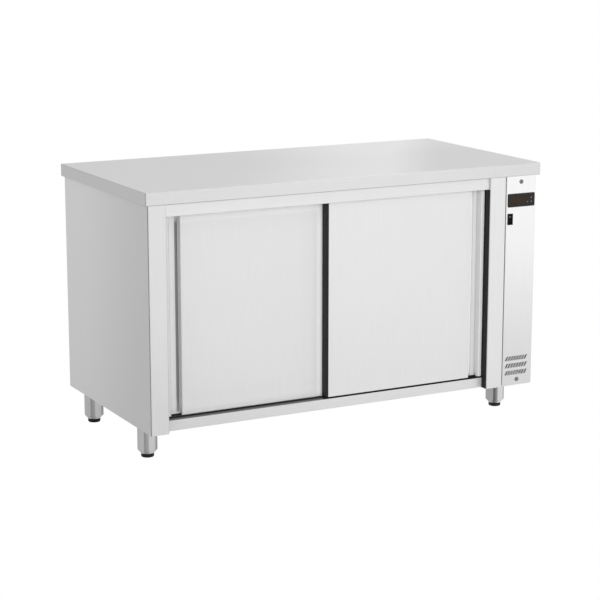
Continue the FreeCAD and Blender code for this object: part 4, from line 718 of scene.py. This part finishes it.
    def fascia_edges(self, finish):
        """Painted shade on the fascia, darker towards its foot, and on the cut edges of its openings."""
        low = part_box("control_fascia")[0]
        x, y, z = finish.axes()
        foot_top = low[2] + 0.72
        foot = finish.fade(z, low[2] - 0.05, foot_top, 0.2, 0.0)
        left_return = low[0] + 0.003
        cut = finish.fade(y, low[1] + 0.0002, low[1] + 0.0008, 0.0, 0.75) * (x > left_return)
        return foot + cut

    def sleeve_painted_reflections(self, finish):
        """Painted reflections round the polished sleeves: upright darker streaks set by which way each spot
        faces, and a darker control end.
        """
        normal = finish.node("ShaderNodeNewGeometry", {}, {}, "Normal")
        split = finish.add("ShaderNodeSeparateXYZ", {}, {0: normal})
        x_part = Signal(finish, split.outputs[0])
        y_part = Signal(finish, split.outputs[1])
        across = x_part * TO_RIGHT[0] + y_part * TO_RIGHT[1]
        middle_streak = finish.band(across, -0.02, 0.17, soft=0.15) * 0.38
        left_streak = finish.fade(across, -0.3, 0.3, 0.2, 0.0)
        right_streak = finish.fade(across, 0.76, 0.92, 0.0, 0.5)
        control_end = (finish.axes()[0] > 0.0) * finish.fade(across, -0.15, 0.4, 0.4, 0.22)
        return middle_streak + left_streak + right_streak + control_end


class CABINET_OT_filling(bpy.types.Operator):
    """Gives the worktop's board and the mineral wool their finish"""

    bl_idname = "cabinet.filling"
    bl_label = "Board and Wool"

    def execute(self, context):
        dress(["worktop_board"], self.pressed_board())
        dress(["insulation_slabs", "left_door_core", "right_door_core"], self.mineral_wool())
        return {"FINISHED"}

    def pressed_board(self):
        """Chipboard in thin layers."""
        board = Finish("pressed board")
        chips = board.noise((260.0, 420.0, 420.0), detail=4.0, roughness=0.7)
        layers = board.noise((4.0, 4.0, 900.0), detail=1.0, roughness=0.5)
        tone = board.spread(chips * 0.7 + layers * 0.3, 0.0, 1.0)
        colour = board.blend(tone, (0.30, 0.20, 0.11, 1.0), (0.58, 0.44, 0.27, 1.0))
        return board.surface(Base_Color=colour, Roughness=0.85, Normal=board.bump(chips, 0.0003))

    def mineral_wool(self):
        """Yellow wool with level fibres and tufts."""
        wool = Finish("mineral wool")
        fibres = wool.noise((210.0, 210.0, 1300.0), detail=5.0, roughness=0.75)
        tufts = wool.noise((38.0, 38.0, 70.0), detail=3.0, roughness=0.6)
        tone = wool.spread(fibres * 0.6 + tufts * 0.4, 0.0, 1.0)
        colour = wool.blend(tone, (0.46, 0.38, 0.18, 1.0), (0.83, 0.77, 0.52, 1.0))
        normal = wool.bump(fibres * 0.4 + tufts, 0.0016)
        return wool.surface(Base_Color=colour, Roughness=0.97, Normal=normal)


class CABINET_OT_plastics(bpy.types.Operator):
    """Gives the strips, guide, rollers, switch frame and controller case their finish"""

    bl_idname = "cabinet.plastics"
    bl_label = "Plastics and Rubber"

    def execute(self, context):
        black = (0.008, 0.008, 0.0085)
        dress(SOFT_BLACK, moulded("black rubber strip", (0.013, 0.013, 0.0135), 0.62, specular=0.3))
        dress(["rocker_frame"], moulded("black moulded plastic", black, 0.46, specular=0.2))
        dress(["door_guide"], moulded("black guide", black, 0.46, specular=0.2, pale_where=self.guide_foot_painted_light))
        dress(NYLON, moulded("white nylon", (0.80, 0.80, 0.765), 0.42))
        dress(["controller_case"], moulded("controller case", (0.022, 0.019, 0.0175), 0.42, grain=0.00001,
                                           scale=2600.0, specular=0.2))
        dress(["rocker"], moulded("glossy switch", (0.0015, 0.0015, 0.0015), 0.16, grain=0.000004,
                                  scale=900.0, specular=0.03, worn=0.1, pale_where=self.switch_marks))
        return {"FINISHED"}

    def guide_foot_painted_light(self, finish):
        """Painted light on the foot of the guide's ribs, paler towards the bottom and left of the parked
        front door.
        """
        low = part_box("door_guide")[0]
        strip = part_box("right_door_edge_strip")[0][0]
        x, z = finish.axes()[::2]
        height = finish.fade(z, low[2] + 0.001, low[2] + 0.0055, 0.5, 0.0)
        return height * finish.fade(x, strip - 0.012, strip, 1.0, 0.0)

    def switch_marks(self, finish):
        """The usual ring and bar of a switch's off and on ends."""
        mark = 0.0021
        soft = 0.0001
        centre = middle("rocker")
        low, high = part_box("rocker")
        reach = (high[2] - low[2]) / 4
        x, z = finish.axes()[::2]
        across = x - centre.x
        up = z - (centre.z + reach)
        round_centre = (across * across * 0.5 + up * up) ** 0.5
        ring = finish.band(round_centre, mark, 0.0003, soft) * 0.8
        bar = finish.band(across, 0.0, 0.00035, soft) * finish.band(z, centre.z - reach, mark, soft) * 0.3
        return ring + bar


class CABINET_OT_keys(bpy.types.Operator):
    """Models the controller's three keys, with a raised middle and a printed mark"""

    bl_idname = "cabinet.keys"
    bl_label = "Controller Keys"

    def execute(self, context):
        controls = context.scene.cabinet_controls
        marks = {"up_key": self.up_mark, "down_key": self.down_mark, "set_key": self.set_mark}
        flat_share = 0.1
        slope_share = 0.12
        corner = 0.0006
        for node, mark in marks.items():
            low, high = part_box(node)
            size = Vector(high) - Vector(low)
            bpy.ops.object.select_all(action="DESELECT")
            bpy.ops.mesh.primitive_cube_add(size=1, location=middle(node), scale=size)
            piece = new_piece(node + "_cap")
            start_edit()
            pick_faces(piece, lambda face: face.normal.y < -0.9)
            bpy.ops.transform.translate(value=(0, controls.key_crown, 0))
            bpy.ops.mesh.inset(thickness=size.z * flat_share)
            bpy.ops.mesh.inset(thickness=size.z * slope_share, depth=controls.key_crown)
            end_edit()
            bpy.ops.object.transform_apply(location=True, rotation=False, scale=True)
            add_bevel(piece, corner, segments=3, angle=50.0)
            plastic = moulded(node.replace("_", " ") + " plastic", (0.030, 0.026, 0.025), 0.38, grain=0.00001,
                              scale=2600.0, specular=0.25, pale_where=mark)
            settle(piece, plastic, node)
            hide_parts(node)
        return {"FINISHED"}

    def arrow(self, finish, node, way):
        """A printed triangle that points up or down."""
        size = bpy.context.scene.cabinet_controls.mark
        centre = middle(node)
        x, z = finish.axes()[::2]
        up = (z - centre.z) * way
        width = (size - up) * 0.62
        inside = (abs(x - centre.x) < width) * (up > -size * 0.75)
        return inside * 0.85

    def up_mark(self, finish):
        """An arrow that points up."""
        return self.arrow(finish, "up_key", 1.0)

    def down_mark(self, finish):
        """An arrow that points down."""
        return self.arrow(finish, "down_key", -1.0)

    def set_mark(self, finish):
        """A printed ring."""
        size = bpy.context.scene.cabinet_controls.mark
        centre = middle("set_key")
        x, z = finish.axes()[::2]
        across = x - centre.x
        up = z - centre.z
        return finish.band((across * across + up * up) ** 0.5, size * 0.75, 0.0003, soft=0.0001) * 0.7


class CABINET_OT_screws(bpy.types.Operator):
    """Turns a domed screw, cuts its cross recess and sets it at both ends of the fascia"""

    bl_idname = "cabinet.screws"
    bl_label = "Fascia Screws"

    def execute(self, context):
        low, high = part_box("fascia_screws")
        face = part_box("control_fascia")[0][1]
        radius = (high[0] - low[0]) / 2
        head = face - low[1]
        stem = high[1] - face
        screw = turned("fascia_screw_top", self.screw_profile(radius, head, stem), (0, 0, 0))
        self.cut_cross(screw, stem + head)
        metal = brushed_sheet("screw heads", (0.25, 0.25, 0.255, 1.0), 0.30, ALONG_Z, 0.000003, 0.0, 0.9,
                              self.recess)
        screw.location = (middle("fascia_screws").x, high[1], high[2] - radius)
        screw.rotation_euler = (math.radians(90), 0, 0)
        bpy.ops.object.select_all(action="DESELECT")
        screw.select_set(True)
        bpy.context.view_layer.objects.active = screw
        bpy.ops.object.duplicate(linked=False)
        lower = new_piece("fascia_screw_bottom")
        lower.location.z = low[2] + radius
        lower.rotation_euler = (math.radians(90), math.radians(35), 0)
        for piece in (screw, lower):
            settle(piece, metal, "cabinet")
        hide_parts("fascia_screws")
        return {"FINISHED"}

    def screw_profile(self, radius, head, stem):
        """Half a section of the screw: a chamfered shank, and a domed head on a thin rim."""
        shank = 0.0025
        tip = 0.0019
        chamfer = 0.0008
        ease = 0.0002
        rim = 0.0005
        steps = 9
        profile = [(tip, 0.0), (shank, chamfer), (shank, stem), (radius - ease, stem), (radius, stem + ease),
                   (radius, stem + rim)]
        for step in range(1, steps):
            turn = math.radians(90.0 / steps * step)
            profile.append((radius * math.cos(turn), stem + rim + (head - rim) * math.sin(turn)))
        return profile

    def cut_cross(self, screw, top):
        """Cuts two crossed bars into the head."""
        controls = bpy.context.scene.cabinet_controls
        bar = (controls.recess_length, controls.recess_width, controls.recess_depth * 2)
        for turn in (0.0, math.pi / 2):
            bpy.ops.object.select_all(action="DESELECT")
            bpy.ops.mesh.primitive_cube_add(size=1, location=(0, 0, top), rotation=(0, 0, turn), scale=bar)
            cut_out(screw, bpy.context.object)

    def recess(self, finish):
        """Painted shade on the bottom of the cross recess and on the rim that meets the fascia."""
        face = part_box("control_fascia")[0][1]
        y = finish.axes()[1]
        return finish.fade(y, face - 0.0011, face - 0.0002, 0.0, 0.5)


class CABINET_OT_gland(bpy.types.Operator):
    """Turns the cable gland with its two nuts and ribbed cap"""

    bl_idname = "cabinet.gland"
    bl_label = "Cable Gland"

    def execute(self, context):
        low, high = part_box("cable_gland")
        centre = middle("cable_gland")
        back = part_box("back_panel")[1][1]
        inside = back - low[1]
        outside = high[1] - back
        nut = (high[0] - low[0]) / 2
        lock = 0.0072
        lock_gap = 0.0013
        nut_height = 0.007
        stem = 0.0089
        chamfer = 0.001
        body = [(stem - chamfer, 0.0), (stem, chamfer), (stem, inside - lock), (stem, inside)]
        rounds = [("gland_stem", body, TURNED_SIDES),
                  ("gland_lock_nut", self.nut_profile(nut, inside - lock, inside - lock_gap), NUT_SIDES),
                  ("gland_nut", self.nut_profile(nut, inside, inside + nut_height), NUT_SIDES),
                  ("gland_cap", self.cap_profile(inside, outside, nut_height), TURNED_SIDES)]
        plastic = moulded("gland plastic", (0.020, 0.020, 0.021), 0.5)
        for name, profile, segments in rounds:
            piece = turned(name, profile, (0, 0, 0), segments)
            if name == "gland_cap":
                self.rib(piece)
            start = profile[0][1]
            piece.location = (centre.x, low[1] + start, centre.z)
            piece.rotation_euler = (math.radians(-90), 0, 0)
            settle(piece, plastic, "cabinet")
        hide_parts("cable_gland")
        return {"FINISHED"}

    def cap_profile(self, inside, outside, start):
        """Half a section of the cap: a straight ring, a round shoulder and the bore."""
        bore = 0.0045
        ease = 0.0004
        ring = 0.0101
        foot = 0.0098
        ring_height = 0.0098
        shoulder = 0.0039
        crown = 0.0062
        bore_floor = 0.0075
        steps = 6
        cap = [(foot, inside + start), (ring, inside + start + ease), (ring, inside + ring_height)]
        rise = outside - ring_height
        for step in range(1, steps + 1):
            turn = math.radians(90.0 / steps * step)
            cap.append((crown + shoulder * math.cos(turn), inside + ring_height + rise * math.sin(turn)))
        cap += [(bore + ease, inside + outside), (bore, inside + outside - ease), (bore, inside + bore_floor)]
        return cap

    def nut_profile(self, radius, low, high):
        """A hexagonal nut whose corners are chamfered."""
        edge = radius * 0.94
        chamfer = 0.0006
        return [(edge, low), (radius, low + chamfer), (radius, high - chamfer), (edge, high)]

    def rib(self, piece):
        """Raises every second flank of the cap's lower ring as a grip."""
        ring_top = 0.0028
        border = 0.00015
        rise = 0.0004

        def flank(face):
            """Whether a face is an even flank of the lower ring."""
            spot = face.center
            number = round(math.atan2(spot.y, spot.x) / math.tau * TURNED_SIDES - 0.5)
            return abs(face.normal.z) < 0.1 and spot.z < ring_top and number % 2 == 0

        start_edit()
        pick_faces(piece, flank)
        bpy.ops.mesh.inset(thickness=border, depth=rise, use_individual=True)
        end_edit()


class CABINET_OT_display(bpy.types.Operator):
    """Gives the controller's smoked window its unlit digits"""

    bl_idname = "cabinet.display"
    bl_label = "Display Window"

    def execute(self, context):
        smoke = (0.026, 0.016, 0.010, 1.0)
        pale_smoke = (0.036, 0.023, 0.014, 1.0)
        unlit = (0.060, 0.042, 0.032, 1.0)
        finish = Finish("smoked window")
        clouds = finish.noise((60.0, 60.0, 60.0), detail=2.0, roughness=0.5)
        base = finish.blend(finish.spread(clouds, 0.0, 1.0), smoke, pale_smoke)
        base = finish.blend(self.digits(finish, context.scene.cabinet_controls) * 0.5, base, unlit)
        smears = finish.noise((90.0, 90.0, 40.0), detail=3.0, roughness=0.6)
        rough = finish.spread(smears, 0.08, 0.16)
        window = finish.surface(Base_Color=base, Roughness=rough, Specular_IOR_Level=0.16)
        dress(["controller_window"], window)
        return {"FINISHED"}

    def digits(self, finish, controls):
        """Three unlit digits of seven segments each."""
        centre = middle("controller_window")
        x, z = finish.axes()[::2]
        pitch = controls.digit_pitch
        along = abs(x - centre.x)
        start = x - centre.x + pitch * 1.5
        wrapped = finish.node("ShaderNodeMath", {"operation": "FLOORED_MODULO"}, {0: start, 1: pitch})
        across = abs(wrapped - pitch / 2)
        up = abs(z - centre.z)
        half = controls.digit_height / 2
        side = controls.digit_width / 2
        thin = controls.segment / 2
        gap = thin * 1.3
        level = ((abs(up - half) < thin) + (up < thin)) * (across < side - gap)
        upright = (abs(across - side) < thin) * (abs(up - half / 2) < half / 2 - gap)
        return (level + upright) * (along < pitch * 1.5)


class CABINET_OT_heater(bpy.types.Operator):
    """Gives the fan, motor and ring heater their finish"""

    bl_idname = "cabinet.heater"
    bl_label = "Heater and Fan"

    def execute(self, context):
        blued = (0.19, 0.15, 0.12, 1.0)
        bare = (0.40, 0.36, 0.32, 1.0)
        sheath = Finish("heated sheath")
        bands = sheath.noise((90.0, 30.0, 30.0), detail=3.0, roughness=0.6)
        colour = sheath.blend(sheath.spread(bands, 0.0, 1.0), blued, bare)
        dress(["ring_heater"], sheath.surface(Base_Color=colour, Metallic=0.9, Roughness=0.48,
                                              Normal=sheath.bump(bands, 0.0001)))
        dress(["fan_motor"], moulded("motor paint", (0.055, 0.058, 0.066), 0.45))
        aluminium = (0.80, 0.80, 0.81, 1.0)
        dress(["fan_wheel"], brushed_sheet("spun aluminium", aluminium, 0.36, ALONG_X, 0.000003, 0.0, 0.9))
        return {"FINISHED"}


class CABINET_OT_feet(bpy.types.Operator):
    """Turns the four black feet with their rounded rims and stems"""

    bl_idname = "cabinet.feet"
    bl_label = "Feet"

    def execute(self, context):
        feet = context.scene.cabinet_feet
        rubber = moulded("foot plastic", feet.colour, 0.5, specular=0.25)
        for node in FEET:
            low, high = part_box(node)
            centre = middle(node)
            profile = self.foot_profile((high[0] - low[0]) / 2, feet.rim, high[2])
            piece = turned(node + "_turned", profile, (centre.x, centre.y, 0.0), feet.segments)
            settle(piece, rubber, node)
            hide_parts(node)
        return {"FINISHED"}

    def foot_profile(self, radius, rim, top):
        """Half a section of a foot: a rounded rim, a chamfered skirt and a stem."""
        skirt = 0.0117
        skirt_chamfer = 0.0012
        stem = 0.0119
        stem_flare = 0.0008
        stem_chamfer = 0.0020
        steps = 6
        profile = [(radius - rim - 0.0015, 0.0)]
        for step in range(steps + 1):
            turn = math.radians(-90 + 90 / steps * step)
            profile.append((radius - rim + rim * math.cos(turn), rim + rim * math.sin(turn)))
        return profile + [(radius, skirt - skirt_chamfer), (radius - skirt_chamfer, skirt),
                          (stem + stem_flare, skirt), (stem, skirt + stem_flare), (stem, top - stem_chamfer),
                          (stem - stem_chamfer, top)]


class CABINET_OT_stage(bpy.types.Operator):
    """Lays the pale floor, hangs the lamps and sets the camera"""

    bl_idname = "cabinet.stage"
    bl_label = "Studio"

    def execute(self, context):
        settings = context.scene.cabinet_set
        bpy.ops.object.select_all(action="DESELECT")
        bpy.ops.mesh.primitive_plane_add(size=settings.floor_size, location=(0, 0, 0))
        floor = new_piece("studio_floor")
        floor.data.materials.append(self.floor_finish())
        self.light_sky(context, settings.sky)
        self.hang_lamp("key_lamp", settings.key, KEY_PLACE, KEY_TARGET)
        self.hang_lamp("fill_lamp", settings.key * FILL_SHARE, FILL_PLACE, FILL_TARGET)
        self.stand_camera(context, settings.lens)
        context.scene.view_settings.view_transform = "Standard"
        return {"FINISHED"}

    def floor_finish(self):
        """White to the camera, and in reflections the studio's level, a little darker near the cabinet."""
        white = (1.0, 1.0, 1.0, 1.0)
        grey = (0.84, 0.84, 0.84, 1.0)
        apron_start = 0.5
        apron_end = 4.4
        apron_level = 0.84
        far_level = 1.03
        shine_share = 0.8
        finish = Finish("studio floor")
        camera, glossy = self.rays(finish)
        x, y = finish.axes()[:2]
        reach = (x * x + y * y + 0.16) ** 0.5
        apron = finish.fade(reach, apron_start, apron_end, apron_level, far_level)
        level = self.mirrored(finish, x * reach ** -1.0, y * reach ** -1.0) * apron
        paper = finish.node("ShaderNodeBsdfDiffuse", {}, {"Color": grey})
        shine = finish.node("ShaderNodeEmission", {}, {"Color": white, "Strength": level})
        seen = finish.node("ShaderNodeEmission", {}, {"Color": white, "Strength": 1.0})
        mixed = finish.node("ShaderNodeMixShader", {}, {0: glossy * shine_share, 1: paper, 2: shine})
        mixed = finish.node("ShaderNodeMixShader", {}, {0: camera, 1: mixed, 2: seen})
        finish.add("ShaderNodeOutputMaterial", {}, {"Surface": mixed})
        return finish.material

    def rays(self, finish):
        """One for rays straight or through glass from the eye, and one for rays from a mirror."""
        path = finish.tree.nodes.new("ShaderNodeLightPath")
        straight = Signal(finish, path.outputs["Is Camera Ray"])
        through = Signal(finish, path.outputs["Is Transmission Ray"])
        return straight + through, Signal(finish, path.outputs["Is Glossy Ray"])

    def mirrored(self, finish, x, y):
        """The studio's level in a direction: bright at the front right, a dim room behind the camera."""
        middle_level = 0.80
        slope = 0.27
        room_depth = 0.42
        towards_camera = x * TO_CAMERA[0] + y * TO_CAMERA[1]
        room = finish.fade(towards_camera, 0.78, 0.985, 0.0, room_depth)
        return middle_level + (x * TO_BRIGHT_END[0] + y * TO_BRIGHT_END[1]) * slope - room

    def light_sky(self, context, level):
        """An even sky, a little brighter at its foot, and white where it is seen."""
        world = bpy.data.worlds.new("studio sky")
        world.use_nodes = True
        context.scene.world = world
        finish = Finish("studio sky", world.node_tree)
        camera, glossy = self.rays(finish)
        x, y, z = finish.axes("Generated")
        at_horizon = 1.14
        fall = 0.29
        even = level * (at_horizon - z * fall)
        strength = camera + (1 - camera) * (glossy * self.mirrored(finish, x, y) + (1 - glossy) * even)
        back = finish.node("ShaderNodeBackground", {}, {"Color": (1.0, 1.0, 1.0, 1.0), "Strength": strength})
        finish.add("ShaderNodeOutputWorld", {}, {"Surface": back})

    def hang_lamp(self, name, power, place, target):
        """A square soft lamp that faces a point and shows in no reflection."""
        bpy.ops.object.light_add(type="AREA", location=place)
        lamp = bpy.context.object
        lamp.name = name
        lamp.data.energy = power
        lamp.data.size = LAMP_SIZE
        lamp.rotation_euler = (Vector(target) - Vector(place)).to_track_quat("-Z", "Y").to_euler()
        lamp.visible_glossy = False

    def stand_camera(self, context, lens):
        """The photograph's viewpoint."""
        turned_to = (math.radians(90.0 - CAMERA_DIP), 0.0, math.radians(CAMERA_TURN))
        bpy.ops.object.camera_add(location=CAMERA_PLACE, rotation=turned_to)
        camera = bpy.context.object
        camera.name = "studio_camera"
        camera.data.sensor_width = SENSOR_WIDTH
        camera.data.lens = lens
        context.scene.camera = camera


class CABINET_PT_panel(bpy.types.Panel):
    """The cabinet's settings and steps in the sidebar."""

    bl_idname = "CABINET_PT_panel"
    bl_label = "Plate Cabinet"
    bl_space_type = "VIEW_3D"
    bl_region_type = "UI"
    bl_category = "Cabinet"

    def draw(self, context):
        for group_name in GROUPS:
            settings = getattr(context.scene, group_name)
            box = self.layout.box()
            for name in settings.__annotations__:
                box.prop(settings, name)
        for operator in OPERATORS:
            self.layout.operator(operator.bl_idname)


GROUPS = {"cabinet_steel": CabinetSteel, "cabinet_slots": CabinetSlots, "cabinet_controls": CabinetControls,
          "cabinet_feet": CabinetFeet, "cabinet_set": CabinetSet}
OPERATORS = [CABINET_OT_steel, CABINET_OT_filling, CABINET_OT_plastics, CABINET_OT_keys, CABINET_OT_screws,
             CABINET_OT_gland, CABINET_OT_display, CABINET_OT_heater, CABINET_OT_feet, CABINET_OT_stage]


def register():
    """Registers the settings, the steps and the panel."""
    for group_name, group in GROUPS.items():
        bpy.utils.register_class(group)
        setattr(bpy.types.Scene, group_name, PointerProperty(type=group))
    for operator in OPERATORS:
        bpy.utils.register_class(operator)
    bpy.utils.register_class(CABINET_PT_panel)


def unregister():
    """Takes back what register adds."""
    bpy.utils.unregister_class(CABINET_PT_panel)
    for operator in reversed(OPERATORS):
        bpy.utils.unregister_class(operator)
    for group_name, group in GROUPS.items():
        delattr(bpy.types.Scene, group_name)
        bpy.utils.unregister_class(group)


def main():
    """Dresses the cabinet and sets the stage."""
    register()
    bpy.ops.cabinet.steel()
    bpy.ops.cabinet.filling()
    bpy.ops.cabinet.plastics()
    bpy.ops.cabinet.keys()
    bpy.ops.cabinet.screws()
    bpy.ops.cabinet.gland()
    bpy.ops.cabinet.display()
    bpy.ops.cabinet.heater()
    bpy.ops.cabinet.feet()
    bpy.ops.cabinet.stage()


if __name__ == "__main__":
    main()
